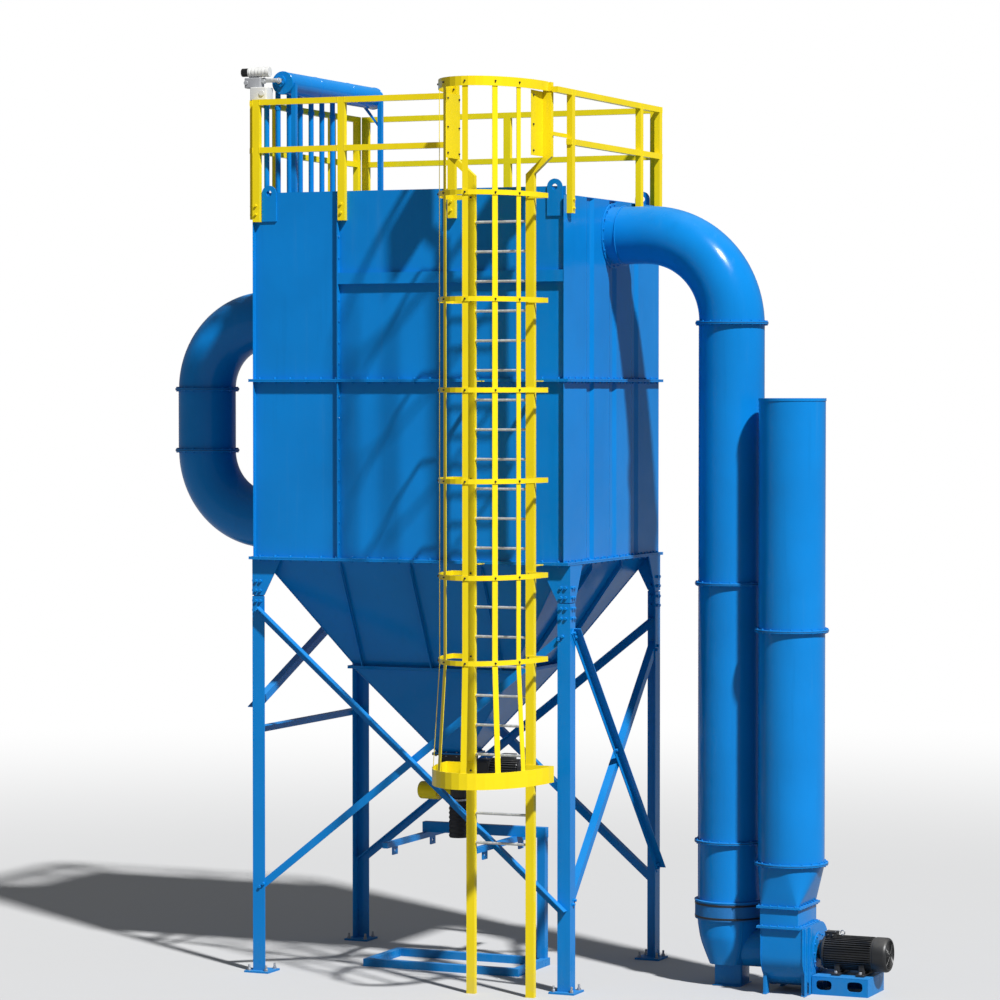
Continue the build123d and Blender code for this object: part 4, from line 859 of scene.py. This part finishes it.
class COLLECTOR_OT_ladder(bpy.types.Operator):
    """Adds the welds and bolts of the ladder, its cage and the guard rails"""

    bl_idname = "collector.ladder"
    bl_label = "Dress the ladder and rails"

    def execute(self, context):
        s = context.scene.collector_bolt
        self.rungs()
        self.cage(s)
        self.rails(s)
        return {"FINISHED"}

    def rungs(self):
        """A fillet where each rung enters a stile."""
        fillet = [(0.014, 0.0), (0.02, 0.0), (0.0195, 0.004), (0.014, 0.007)]
        first, pitch, count, reach, y = 1.548, 0.3, 22, 0.282, -1.62
        places = [(side, site(LADDER_X + side * reach, y, first + pitch * k))
                  for k in range(count) for side in (-1, 1)]
        rings = [turned(fillet, place, (-side, 0, 0), 12, closed=True) for side, place in places]
        build("rung_welds", rings, "yellow_paint")

    def cage(self, s):
        """Bolts where straps and stiles meet the hoops; those of the wide lowest hoop face inwards."""
        small = bolt_form(s.duct)
        bolts = []
        lowest, top, facets = 2.283, 9.193, (5, 8, 12, 16, 19)
        outside, inside, straight, flared, stile_front = 0.008, 0.053, 0.317, 0.505, -1.658
        for z in (3.445, 4.29, 5.245, 6.15, 7.05, 8.1, top, lowest):
            for k in facets:
                place, out = cage_facet(k, inside if z == lowest else outside, z)
                bolts.append(bolted(small, place, -out if z == lowest else out))
            stile = flared if z == top else straight
            bolts += [bolted(small, site(LADDER_X + side * stile, stile_front, z), SOUTH)
                      for side in (-1, 1)]
        plate_levels, plate_places = (9.09, 8.8, 8.54), ((0.725, -1.9), (1.66, -1.9), (0.725, -1.62))
        bolts += [bolted(small, site(*at, z), EAST) for z in plate_levels for at in plate_places]
        build("cage_bolts", bolts, "dark_paint")

    def rails(self, s):
        """Two bolts at the foot of each post, and weld beads where the rails meet the posts."""
        big = bolt_form(s.housing)
        half, wall, post = 0.04, -1.301, -1.359
        foot_levels, top_rail, knee_rail = (7.99, 8.08), (9.13, 9.19), (8.63, 8.69)
        front = (-1.72, -0.73, 0.52)
        rows = ((SOUTH, 1.36, front), (EAST, 1.825, (-1.235, 0.687, 1.25)),
                (WEST, 1.825, (-1.25, -0.737, 0.611, 1.25)))
        bolts = [bolted(big, [on_face(axis, u, face, z) for u in posts], axis)
                 for z in foot_levels for axis, face, posts in rows]
        beads = [weld(site(x + side, post, z), site(x + side, wall, z))
                 for z in (top_rail[0], *knee_rail) for x in front for side in (-half, half)]
        beads += [weld(*(on_face(axis, u + side, face + 0.0005, z) for z in rail), 0.003)
                  for rail in (top_rail, knee_rail) for axis, face, posts in rows
                  for u in posts for side in (-half, half)]
        build("rail_bolts", bolts, "yellow_paint")
        build("rail_welds", beads, "yellow_paint")


# Motors and fan

def finned_barrel(origin, axis, core, crown, length, fins=28):
    """Motor housing: radius core, raised to crown over 45% of the pitch of the fins."""
    u, v, w = basis(axis)
    t = ((np.arange(fins)[:, None] + [0.0, 0.04, 0.41, 0.45]) / fins * 2 * pi).ravel()
    radius = core + (crown - core) * np.tile([0.0, 1.0, 1.0, 0.0], fins)
    spokes = radius[:, None] * (np.cos(t)[:, None] * u + np.sin(t)[:, None] * v)
    return ringed([np.asarray(origin) + scale * spokes + h * w
                   for scale, h in ((0.97, 0.0), (1.0, 0.006), (1.0, length - 0.006), (0.97, length))])


def fan_guard(origin, axis, radius, depth, rings=7, spokes=8):
    """Round grille: rings of wire on a shallow dome with spokes over them, sunk into a cowl's end."""
    round_wire = np.linspace(0, 2 * pi, 6, endpoint=False)
    parts = []
    for r in np.linspace(radius * 0.18, radius, rings):
        h = depth * (1 - (r / radius) ** 2)
        section = [(r + 0.003 * cos(a), h + 0.003 * sin(a)) for a in round_wire]
        parts.append(turned(section, origin, axis, 36, closed=True))
    for way in circle(axis, spokes):
        r = np.linspace(radius * 0.12, radius, 6)[:, None]
        rise = (depth * (1 - (r / radius) ** 2) + 0.002) * basis(axis)[2]
        parts.append(bead(np.asarray(origin) + r * way + rise, 0.0028))
    return joined(parts)


STACK_X, FAN_Y = 3.836, -0.28
SCROLL_X0, SCROLL_X1 = 3.605, 4.055


def outlet_centre(f):
    """Middle of the square outlet at floor level; its left side stands 4 mm out from the scroll."""
    return site(SCROLL_X0 - 0.004 + f.outlet_x / 2, FAN_Y, 0)


def volute(f, grow=0.0):
    """Outline of the scroll in (y, z): straight front, then quarter ellipses round to the outlet."""
    y0, z0 = -0.035, 0.405
    front, back, low, outlet = -0.57 - grow, 0.29 + grow, 0.04 - grow, 0.01 + grow
    outline = [[[front, f.top]]]
    for y, width, height, start in ((y0, y0 - front, z0 - low, 180), (y0, back - y0, z0 - low, 270),
                                    (outlet, back - outlet, f.top - z0, 0)):
        t = np.radians(np.linspace(start, start + 90, 14))
        quarter = np.stack([y + width * np.cos(t), z0 + height * np.sin(t)], -1)
        outline.append(quarter if start == 180 else quarter[1:])
    return np.concatenate(outline)


def across_x(outline, x0, x1):
    """Solid between two X planes with a (y, z) outline."""
    return ringed([np.insert(outline, 0, x, axis=1) + middle for x in (x0, x1)])


def square_to_round(f, centre, radius, z0, z1, wall=0.004, count=96, levels=9):
    """Sheet that runs from the corners of a rectangle to a circle.

    The foot of the ray at angle t stands on the nearest corner, apart from 6 degrees either side of each
    multiple of 90, where it runs along the side between two corners.
    """
    t = np.arange(count) * 2 * pi / count
    quarter = t % (pi / 2)
    which = (t // (pi / 2)).astype(int)
    w, round_off = radians(6), 0.02
    half = [f.outlet_x / 2, f.outlet_y / 2]
    corner = np.array([[1, 1], [-1, 1], [-1, -1], [1, -1]]) * half
    ends = np.array([[1, 0], [0, 1], [-1, 0], [0, -1]]) * half
    turn = np.clip((quarter - w) / (pi / 2 - 2 * w), 0, 1) * pi / 2 + which * pi / 2
    spoke = np.stack([np.cos(turn), np.sin(turn)], -1)
    foot = corner[which] + round_off * (spoke - np.sign(corner[which]))
    for away, end in ((quarter, which), (pi / 2 - quarter, which + 1)):
        near = away < w
        start = ends[end[near] % 4]
        foot[near] = start + (foot[near] - start) * (away[near] / w)[:, None]
    head = radius * np.stack([np.cos(t), np.sin(t)], -1) + [site(STACK_X, 0, 0)[0] - centre[0], 0.0]
    rings = np.array([np.insert(foot * (1 - k) + head * k + centre[:2], 2, z0 + (z1 - z0) * k, axis=1)
                      for k in np.linspace(0, 1, levels)])
    middle_line = rings.mean(1, keepdims=True)
    inner = middle_line + (rings - middle_line) * (1 - wall / radius)
    inner[:, :, 2] = rings[:, :, 2]
    return ringed(np.concatenate([rings, inner[::-1]]), closed=True)


def inlet_rings():
    """Rings |x / a|^n + |y / b|^n = 1 of the inlet box: round at the duct, squarer at the foot.

    Each row of the table holds a level, the left and right ends, the half depth and the power n.
    """
    table = np.array([[0.232, 2.905, 3.275, 0.27, 3.4], [0.345, 2.85, 3.325, 0.295, 3.0],
                      [0.453, 2.8, 3.37, 0.32, 2.6], [0.515, 2.775, 3.395, 0.335, 2.3],
                      [0.64, 2.742, 3.426, 0.344, 2.0], [0.691, 2.739, 3.429, 0.345, 2.0]])
    t = np.linspace(0, 2 * pi, 72, endpoint=False)
    rings = []
    for z in np.linspace(table[0, 0], table[-1, 0], 16):
        left, right, half, power = (np.interp(z, table[:, 0], column) for column in table.T[1:])
        x, y = (np.sign(wave) * np.abs(wave) ** (2 / power) for wave in (np.cos(t), np.sin(t)))
        x = (left + right) / 2 + (right - left) / 2 * x
        rings.append(np.stack([x, half * y, np.full(len(t), z)], -1))
    return np.array(rings) + middle


def holed_panel(x0, x1, z0, z1, y, thick, slot, count=48, power=3.4):
    """Upright panel square to Y with one rounded slot: rings of outline and slot, front and back.

    The outline's points lie on rays from the middle of the slot, at even angles and at the four corners.
    """
    cx, cz, half_x, half_z = slot
    corners = np.arctan2([z1 - cz, z1 - cz, z0 - cz, z0 - cz], [x1 - cx, x0 - cx, x0 - cx, x1 - cx])
    t = np.sort(np.concatenate([np.linspace(-pi, pi, count, endpoint=False), corners]))
    way = np.stack([np.cos(t), np.sin(t)], -1)
    limit = np.where(way > 0, [x1 - cx, z1 - cz], [cx - x0, cz - z0]) / np.maximum(np.abs(way), 1e-9)
    outer = way * limit.min(1)[:, None] + [cx, cz]
    reach = (np.abs(way / [half_x, half_z]) ** power).sum(1) ** (-1 / power)
    inner = way * reach[:, None] + [cx, cz]
    layers = ((outer, 0), (inner, 0), (inner, thick), (outer, thick))
    return ringed([np.insert(flat, 1, y + depth, axis=1) + middle for flat, depth in layers],
                  closed=True)


class COLLECTOR_OT_fan(bpy.types.Operator):
    """Builds the sheet of the fan, its inlet box, outlet and motor over the plain solids"""

    bl_idname = "collector.fan"
    bl_label = "Dress the fan"

    def execute(self, context):
        s = context.scene.collector_bolt
        f = context.scene.collector_fan
        low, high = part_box("motor_cowl")
        shaft = ((low[1] + high[1]) / 2, (low[2] + high[2]) / 2)
        self.scroll(s, f, shaft)
        self.inlet(shaft)
        self.outlet(f)
        self.motor(s, f, *shaft)
        self.plinth()
        return {"FINISHED"}

    def scroll(self, s, f, shaft):
        """Wrapper between two side plates, feet, two channels on the side, shaft plate with bolts."""
        plate, wrapper = volute(f), volute(f, -0.008)
        side0, side1, foot_inset, channel_x = 3.612, 4.048, 0.02, 4.0605
        parts = [across_x(wrapper, 3.609, 4.05), across_x(plate, SCROLL_X0, side0),
                 across_x(plate, side1, SCROLL_X1)]
        for x in (SCROLL_X0 + foot_inset, SCROLL_X1 - foot_inset):
            for y in (-0.44, 0.1):
                parts += [block(site(x, y, 0), 0.018, 0.045, 0.3, 0.002, 0.001),
                          block(site(x, y, 0), 0.019, 0.06, 0.012)]
        for y in (-0.48, -0.34):
            parts += [block(site(channel_x, y, 0), 0.006, 0.03, f.top - 0.014, 0.002, 0.001),
                      block(site(channel_x, y, 0), 0.0062, 0.05, 0.012, 0.003)]
        x, thick, bore, rim, bolt_ring = site(SCROLL_X1, 0, 0)[0], 0.008, 0.085, 0.2, 0.178
        parts.append(hoop((x, *shaft), EAST, bore, rim, thick))
        ring = circle_places((x + thick, *shaft), EAST, bolt_ring, 12)
        parts.append(bolted(bolt_form(s.duct), ring, EAST))
        parts += [bead(np.insert(wrapper, 0, x, axis=1)[1:-1] + middle, 0.003) for x in (3.613, 4.047)]
        build("fan_casing", parts, replaced=["fan_scroll"])

    def inlet(self, shaft):
        """Inlet box with its feet and the round neck to the eye of the fan."""
        rings = inlet_rings()
        neck = [(0.196, 0.0), (0.202, 0.0), (0.202, 0.393), (0.224, 0.393), (0.224, 0.405),
                (0.196, 0.405)]
        neck_x, ring_x = (site(x, 0, 0)[0] for x in (3.2, 3.592))
        ring = circle_places((ring_x, *shaft), WEST, 0.213, 12)
        foot, sole, seams = site(3.1, 0, 0), 0.01, (26, 62)
        parts = [ringed(rings), turned(neck, (neck_x, *shaft), EAST, 64, closed=True),
                 bolted(bolt_form(0.011), ring, WEST), block(foot, 0.15, 0.13, 0.235, 0.02, 0.003),
                 block(foot, 0.152, 0.185, sole, 0.01, 0.003)]
        parts += [bolted(bolt_form(0.014), [foot + [x, y, sole] for y in (-0.16, 0.16)], UP)
                  for x in (-0.1, 0.1)]
        parts += [bead(rings[:, k], 0.0045) for k in seams]
        parts.append(hoop(site(3.084, 0, 0.681), UP, 0.33, 0.3465, 0.01, 0.001))
        build("fan_inlet_sheet", parts, replaced=["fan_inlet_box"])

    def outlet(self, f):
        """Square collar with a flange at each end, and the sheet that leads up to the round stack."""
        hx, hy = f.outlet_x / 2, f.outlet_y / 2
        at = outlet_centre(f) + [0, 0, f.top]
        height, thick, lip, joint = f.collar_top - f.top, 0.0116, 0.03, 0.014
        collar, *flanges = [block(at + [0, 0, z], hx + lip, hy + lip, thick, 0.003, 0.001)
                            for z in (height, -OUTLET_FLANGE, 0.0, height - OUTLET_FLANGE)]
        build("outlet_collar", [block(at, hx, hy, height, 0.006, 0.001), *flanges],
              replaced=["stack_collar"])
        radius = round_box("stack_lower")[2] - bpy.context.scene.collector_duct.flange_width
        sheet = square_to_round(f, at, radius, f.collar_top + OUTLET_FLANGE, f.stack_round - joint)
        rim = hoop(site(STACK_X, FAN_Y, f.stack_round - joint), UP, radius - 0.005, radius + 0.038,
                   0.0138)
        build("outlet_transition", [sheet, collar, rim], replaced=["stack_transition"])

    def motor(self, s, f, y, z):
        """Finned body between end shields, cowl with rim and grille, terminal box, eye and feet."""
        start, end, last = (site(x, 0, 0)[0] for x in (4.125, f.motor_end, f.cowl_end))
        radius, length = f.motor_radius, last - end
        # Shaft seal, bearing cover and two end shields: place, radius, length, edge, points round
        parts = [disc((x, y, z), EAST, *size) for x, *size in (
            (start - 0.07, 0.075, 0.072, 0.004, 40), (start - 0.03, 0.12, 0.032, 0.01, 40),
            (start, radius - 0.003, 0.03, 0.008, 64), (end - 0.024, radius - 0.004, 0.026, 0.005, 64))]
        parts.append(finned_barrel((start + 0.028, y, z), EAST, radius - 0.02, radius,
                                   end - start - 0.05, 44))
        feet = (start + 0.165, start + 0.425)
        for x in feet:
            parts.append(block((x, y, 0.19), 0.045, 0.19, 0.026, 0.01, 0.004))
            parts += [block((x, y + side, 0.2), 0.03, 0.022, 0.11, 0.006, 0.003)
                      for side in (-0.115, 0.115)]
        at = np.array([start + 0.075, y - 0.01, z + radius - 0.025])
        parts += [block(at, 0.062, 0.055, 0.05, 0.01, 0.004),
                  block(at + [0, 0, 0.051], 0.066, 0.059, 0.01, 0.012, 0.003)]
        parts += [disc(at + [side, -0.054, 0.026], SOUTH, 0.011, 0.024, 0.003, 16)
                  for side in (-0.025, 0.025)]
        build("drive_motor", parts, "dark_paint", ["fan_motor"])
        # The cowl's wall as steps in from the radius and back from its end, from the outside in
        rim = ((0.0, 0.034), (0.004, 0.018), (0.014, 0.006), (0.03, 0.002), (0.032, 0.006), (0.018, 0.01),
               (0.009, 0.022), (0.004, 0.036))
        profile = [(radius - 0.004, 0.0), (radius - 0.002, 0.0), (radius, 0.003)]
        profile += [(radius - step, length - back) for step, back in rim]
        cowl = turned(profile, (end, y, z), EAST, 72, closed=True)
        back = disc((last - 0.055, y, z), EAST, radius - 0.01, 0.01, 0.002, 48)
        grille = fan_guard((last - 0.012, y, z), EAST, radius - 0.031, 0.008)
        build("cooling_cowl", [cowl, back, grille], "dark_paint", ["motor_cowl"])
        eye = [(0.022 + 0.006 * cos(a), 0.006 * sin(a))
               for a in np.linspace(0, 2 * pi, 10, endpoint=False)]
        fittings = [turned(eye, (start + 0.185, y, z + radius + 0.026), NORTH, 24, closed=True),
                    disc((start + 0.185, y, z + radius - 0.01), UP, 0.013, 0.02, 0.002, 16)]
        fittings += [bolted(bolt_form(s.frame), [(x, y - 0.165, 0.216), (x, y + 0.165, 0.216)], UP)
                     for x in feet]
        caps = [at + [i * 0.05, j * 0.044, 0.061] for i, j in CORNERS]
        fittings.append(bolted(bolt_form(0.01), caps, UP))
        build("motor_bolts", fittings, "zinc", finish="plated_bolts")

    def plinth(self):
        """Folded base of the motor: long panels with two rounded slots each, ends and a top plate."""
        low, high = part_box("motor_base")
        x0, x1 = low[0] - middle[0], high[0] - middle[0]
        split, height, mid_y, sheet = x0 + 0.291, 0.18, -0.035, 0.01
        parts = [holed_panel(a, b, 0.0, height, y, sheet, (cx, 0.1, 0.082, 0.05)) for y in (-0.305, 0.225)
                 for a, b, cx in ((x0, split, x0 + 0.127), (split, x1, x0 + 0.455))]
        parts += [block(site(x, mid_y, 0), sheet / 2, 0.2595, height, 0.001, 0.0005)
                  for x in (x0 + sheet / 2, x1 - sheet / 2)]
        parts.append(block(site((x0 + x1) / 2, mid_y, height), (x1 - x0) / 2, 0.27, sheet))
        for x in (x0 + 0.003, x1 - 0.003):
            for y in (-0.302, 0.232):
                parts.append(weld(site(x, y, 0.003), site(x, y, height), 0.0035))
        build("motor_plinth", parts, replaced=["motor_base"])


class COLLECTOR_OT_clamps(bpy.types.Operator):
    """Puts strap clamps with their draw bolts round the cloth joint and the discharge sleeve"""

    bl_idname = "collector.clamps"
    bl_label = "Add the clamps"

    def execute(self, context):
        # The clamps round the cloth joint take black paint (dark_paint), which is painted shade: it
        # stands in for the shadow lines under the joint's flanges
        for name, node, slot, levels, inset in (
                ("joint_clamps", "duct_flexible_joint", "dark_paint", ((0, 0.014), (1, -0.034)), 0.0),
                ("sleeve_clamp", "discharge_sleeve", "zinc", ((1, -0.034),), 0.009)):
            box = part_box(node)
            low, high = box
            x, y = (low[0] + high[0]) / 2, (low[1] + high[1]) / 2
            radius = (high[0] - low[0]) / 2 - inset
            parts = []
            for end, step in levels:
                parts += self.strap(x, y, box[end][2] + step, radius)
            build(name, parts, slot)
        return {"FINISHED"}

    def strap(self, x, y, z, radius):
        """Strap with two lugs and a draw bolt."""
        draw_bolt_at = radians(-62)
        out = np.array([cos(draw_bolt_at), sin(draw_bolt_at), 0])
        side = np.array([-out[1], out[0], 0])
        at = np.array([x, y, z + 0.01]) + out * (radius + 0.012)
        lugs = [box_form(at + side * step, side, 0.012, 0.009, 0.006, 0.002, 0.001)
                for step in (-0.025, 0.019)]
        return [hoop((x, y, z), UP, radius, radius + 0.003, 0.02, 0.001), *lugs,
                disc(at - side * 0.04, side, 0.004, 0.08, 0.001, 10)]


# Rotary valve

class COLLECTOR_OT_valve(bpy.types.Operator):
    """Dresses the rotary valve with bolts on its flanges and end plates, a finned motor, gearbox bolts
    and a rim on the branch cap
    """

    bl_idname = "collector.valve"
    bl_label = "Dress the rotary valve"

    def execute(self, context):
        bolt = bolt_form(context.scene.collector_bolt.duct)
        low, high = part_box("rotary_valve")
        x, y = (low[0] + high[0]) / 2, (low[1] + high[1]) / 2
        top, bottom, reach = high[2], high[2] - 0.33, 0.19
        z = (top + bottom) / 2
        bolts = [bolted(bolt, (x + a, y + b, level), (0, 0, way))
                 for level, way in ((top - 0.014, -1), (top + 0.014, 1), (bottom + 0.014, 1))
                 for step in (-0.18, -0.06, 0.06, 0.18)
                 for a, b in ((step, reach), (step, -reach), (reach, step), (-reach, step))]
        for side in (-1, 1):
            ring = circle_places((x + side * 0.17, y, z), (side, 0, 0), 0.135, 8, 0.2)
            bolts.append(bolted(bolt, ring, (side, 0, 0)))
        build("valve_bolts", bolts, "zinc", finish="plated_bolts")
        self.motor(y, z)
        low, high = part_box("valve_gearbox")
        caps = [bolted(bolt, (low[0] + 0.06, y + a * 0.085, z + b * 0.085), WEST) for a, b in CORNERS]
        caps.append(bolted(bolt, (low[0] + 0.125, y, high[2]), UP))
        build("gearbox_bolts", caps, "zinc", finish="plated_bolts")
        low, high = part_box("spout_branch")
        radius = (high[2] - low[2]) / 2
        at = (low[0] + 0.16, y, (low[2] + high[2]) / 2)
        build("branch_cap_rim", [hoop(at, EAST, radius - 0.004, radius - 0.0005, 0.02)], "yellow_paint")
        return {"FINISHED"}

    def motor(self, y, z):
        """Flange, finned body, fan cover with its grille, and the terminal box with a lid."""
        low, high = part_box("valve_motor")
        radius, length, flange = (high[1] - low[1]) / 2, high[0] - low[0], 0.018
        box_x, cover_x = low[0] + length * 0.39, low[0] + flange + length * 0.62
        build("valve_motor_housing", [
            disc((low[0], y, z), EAST, radius, flange, 0.003),
            finned_barrel((low[0] + flange, y, z), EAST, radius - 0.022, radius - 0.004, length * 0.62),
            disc((cover_x, y, z), EAST, radius - 0.004, length * 0.38 - 0.022, 0.014),
            block((box_x, y, z + radius - 0.035), 0.07, 0.058, high[2] - z - radius + 0.022, 0.01, 0.004),
            block((box_x, y, high[2] - 0.014), 0.075, 0.06, 0.013, 0.012, 0.003)],
            "dark_paint", ["valve_motor"])
        grille = fan_guard((high[0] - 0.0065, y, z), EAST, radius - 0.03, 0.003, 5, 6)
        build("valve_motor_grille", [grille], "dark_paint", finish="grey_casting")


# Air header

HEADER_X, HEADER_Z, PIPE_X, ROOF_Z, UNIT_Y = -1.545, 9.38, -1.64, 8.131, -1.18


class COLLECTOR_OT_header(bpy.types.Operator):
    """Dresses the air header: end ring, boss bolts, pipe collars and the inlet unit"""

    bl_idname = "collector.header"
    bl_label = "Dress the air header"

    def execute(self, context):
        # Rings round the header: depth in its skin, height over it, width, chamfer
        radius, end_ring, seam_ring = 0.118, (0.01, 0.005, 0.016, 0.004), (0.002, 0.003, 0.01, 0.002)
        parts = [hoop(site(HEADER_X, y, HEADER_Z), NORTH, radius - inside, radius + outside, width, edge)
                 for y, (inside, outside, width, edge) in (
                     (-1.083, end_ring), (1.142, end_ring), (-0.35, seam_ring), (0.45, seam_ring))]
        boss = circle_places(site(-1.565, -1.115, 9.4), SOUTH, 0.045, 6)
        parts.append(bolted(bolt_form(0.014), boss, SOUTH))
        first, pitch = -1.262, 0.262
        pipe_y = [first + pitch * k for k in range(8)]
        for y in pipe_y:
            parts += [hoop(site(PIPE_X, y, ROOF_Z), UP, 0.0275, 0.045, 0.012, 0.003, 24),
                      hoop(site(PIPE_X, y, 9.1), UP, 0.0275, 0.034, 0.045, 0.004, 24)]
        for y in (-1.025, 1.1):
            foot, thick, half_pattern = site(-1.435, y, ROOF_Z), 0.01, 0.036
            parts.append(block(foot, 0.05, 0.05, thick, 0.008))
            parts += [bolted(bolt_form(0.013), foot + [a, a, thick], UP)
                      for a in (-half_pattern, half_pattern)]
        build("header_trim", parts)
        # The first pipe ends under the valve block of the inlet unit
        lengths = [1.05] + [1.189] * 7
        build("drop_pipes", [disc(site(PIPE_X, y, ROOF_Z), UP, 0.028, length, 0.004, 24)
                             for y, length in zip(pipe_y, lengths)], replaced=["blow_pipes"])
        self.unit()
        return {"FINISHED"}

    def unit(self):
        """Valve block, pressure body, ribbed bowl and knob on the pipe from the end of the header."""
        y = UNIT_Y
        build("inlet_body", [
            block(site(-1.827, y, 9.325), 0.095, 0.05, 0.107, 0.014, 0.006),
            block(site(-1.827, y, 9.425), 0.05, 0.026, 0.03, 0.01, 0.003),
            disc(site(-1.9, y - 0.048, 9.38), SOUTH, 0.024, 0.012, 0.003, 24)],
            "zinc", ["header_inlet_valve"], "grey_casting")
        build("inlet_valve_block", [
            block(site(-1.7265, -1.2125, 9.19), 0.0955, 0.0825, 0.135, 0.012, 0.006),
            disc(site(-1.68, -1.294, 9.26), SOUTH, 0.03, 0.012, 0.003, 24),
            disc(site(PIPE_X, -1.262, 9.178), UP, 0.036, 0.014, 0.003, 24)],
            "zinc", finish="pale_casting")
        ribs = [(0.05, 0.0), (0.054, 0.004), (0.054, 0.028)]
        for h in (0.04, 0.08, 0.12, 0.16, 0.2):
            ribs += [(0.049, h - 0.008), (0.049, h + 0.006), (0.054, h + 0.01), (0.054, h + 0.02)]
        bowl = turned(ribs + [(0.05, 0.245)], site(-1.888, y, 9.492), EAST, 40)
        build("inlet_bowl", [bowl], "zinc", finish="pale_casting")
        build("inlet_knobs", [
            finned_barrel(site(-1.968, y, 9.492), EAST, 0.039, 0.044, 0.078, 20),
            disc(site(-1.822, y - 0.02, 9.262), WEST, 0.024, 0.03, 0.004, 24)], "dark_paint")
        pipes = [disc(site(-1.74, y, 9.4), EAST, 0.022, 0.197, 0.002, 24),
                 disc(site(-1.565, -1.115, 9.4), SOUTH, 0.022, 0.065, 0.002, 24)]
        for start, axis, length in (((-1.73, y, 9.4), EAST, 0.03),
                                    ((-1.565, -1.117, 9.4), SOUTH, 0.02)):
            nut = circle_places(site(*start), axis, 0.033, 6)
            pipes.append(ringed([nut, nut + length * np.array(axis)]))
        build("inlet_pipe", pipes, "zinc")


# Stage

class COLLECTOR_OT_stage(bpy.types.Operator):
    """Makes the floor, the lamps and the camera"""

    bl_idname = "collector.stage"
    bl_label = "Set the stage"

    def execute(self, context):
        s = context.scene.collector_stage
        scene = context.scene
        camera = bpy.data.cameras.new("camera")
        camera.lens = s.lens
        camera.sensor_width = 36.0
        camera.clip_end = 400.0
        holder = bpy.data.objects.new("camera", camera)
        holder.location = site(*s.eye)
        holder.rotation_euler = (pi / 2 - s.dip, 0.0, s.turn)
        scene.collection.objects.link(holder)
        scene.camera = holder
        lamp = bpy.data.lights.new("key", "SUN")
        lamp.energy = s.sun
        lamp.angle = s.softness
        key = bpy.data.objects.new("key", lamp)
        key.rotation_euler = (pi / 2 - s.sun_height, 0.0, s.sun_side)
        scene.collection.objects.link(key)
        self.floor(scene)
        self.world(scene, s.fill)
        scene.view_settings.view_transform = "Standard"
        return {"FINISHED"}

    def floor(self, scene):
        """Round floor, pale grey near the object and plain white for the camera further out."""
        around = 96
        radii = np.array([0.01, 6.0, 12.0, 25.0, 60.0, 150.0])
        t = np.linspace(0, 2 * pi, around, endpoint=False)
        rings = radii[:, None, None] * np.stack([np.cos(t), np.sin(t), np.zeros(around)], -1)
        mesh = bpy.data.meshes.new("floor")
        faces = grid_faces(len(radii), around, False, True)
        mesh.from_pydata(rings.reshape(-1, 3).tolist(), [], faces.tolist())
        floor = bpy.data.objects.new("floor", mesh)
        scene.collection.objects.link(floor)
        paint = new_paint("floor_paint")
        away = paint.node("VectorMath", {"operation": "LENGTH"}, n0=paint.place)["Value"]
        seen = paint.node("LightPath")["Is Camera Ray"]
        base = paint.mix(paint.noise(2.0, 4.0) * 0.2, rgba((0.5, 0.5, 0.5)), rgba((0.47, 0.47, 0.475)))
        base = paint.mix(seen, rgba((0.28, 0.28, 0.28)), base)
        shader = paint.node("BsdfPrincipled", None, Base_Color=base, Roughness=0.85)["BSDF"]
        white = paint.node("Emission", None, Color=(1, 1, 1, 1), Strength=1.0)["Emission"]
        both = paint.node("MixShader", None, n0=paint.ramp(away, 9.0, 30.0) * seen, n1=shader, n2=white)
        paint.node("OutputMaterial", None, Surface=both["Shader"])
        mesh.materials.append(paint.owner)
        for face in mesh.polygons:
            if face.normal.z < 0:
                face.flip()

    def world(self, scene, fill):
        """Even pale light, seen as plain white by the camera."""
        scene.world = bpy.data.worlds.new("studio")
        sky = Paint(scene.world)
        path = sky.node("LightPath")
        seen = path["Is Camera Ray"].math("MAXIMUM", path["Is Camera Ray"], path["Is Transmission Ray"])
        light = sky.node("Background", None, Color=(0.93, 0.96, 1.0, 1.0), Strength=fill)["Background"]
        white = sky.node("Background", None, Color=(1, 1, 1, 1))["Background"]
        both = sky.node("MixShader", None, n0=seen, n1=light, n2=white)["Shader"]
        sky.node("OutputWorld", None, Surface=both)


class COLLECTOR_PT_panel(bpy.types.Panel):
    """Lists the settings and the steps"""

    bl_idname = "COLLECTOR_PT_panel"
    bl_label = "Dust collector"
    bl_space_type = "VIEW_3D"
    bl_region_type = "UI"
    bl_category = "Collector"

    def draw(self, context):
        for step in steps:
            self.layout.operator(step.bl_idname)
        for key in groups_of_settings:
            box = self.layout.box()
            settings = getattr(context.scene, key)
            for prop in settings.bl_rna.properties:
                if prop.identifier not in ("rna_type", "name"):
                    box.prop(settings, prop.identifier)


steps = [COLLECTOR_OT_paint, COLLECTOR_OT_ducts, COLLECTOR_OT_bolts, COLLECTOR_OT_welds,
         COLLECTOR_OT_ladder, COLLECTOR_OT_fan, COLLECTOR_OT_clamps, COLLECTOR_OT_valve,
         COLLECTOR_OT_header, COLLECTOR_OT_stage]
groups_of_settings = {"collector_paint": PaintSettings, "collector_duct": DuctSettings,
                      "collector_bolt": BoltSettings, "collector_fan": FanSettings,
                      "collector_stage": StageSettings}
classes = list(groups_of_settings.values()) + steps + [COLLECTOR_PT_panel]


def register():
    """Registers the classes and hangs the settings on the scene."""
    for item in classes:
        bpy.utils.register_class(item)
    for key, item in groups_of_settings.items():
        setattr(bpy.types.Scene, key, PointerProperty(type=item))


def unregister():
    """Undoes register."""
    for key in groups_of_settings:
        delattr(bpy.types.Scene, key)
    for item in reversed(classes):
        bpy.utils.unregister_class(item)


def main():
    """Runs the steps in order."""
    register()
    for step in steps:
        group, name = step.bl_idname.split(".")
        getattr(getattr(bpy.ops, group), name)()


if __name__ == "__main__":
    main()
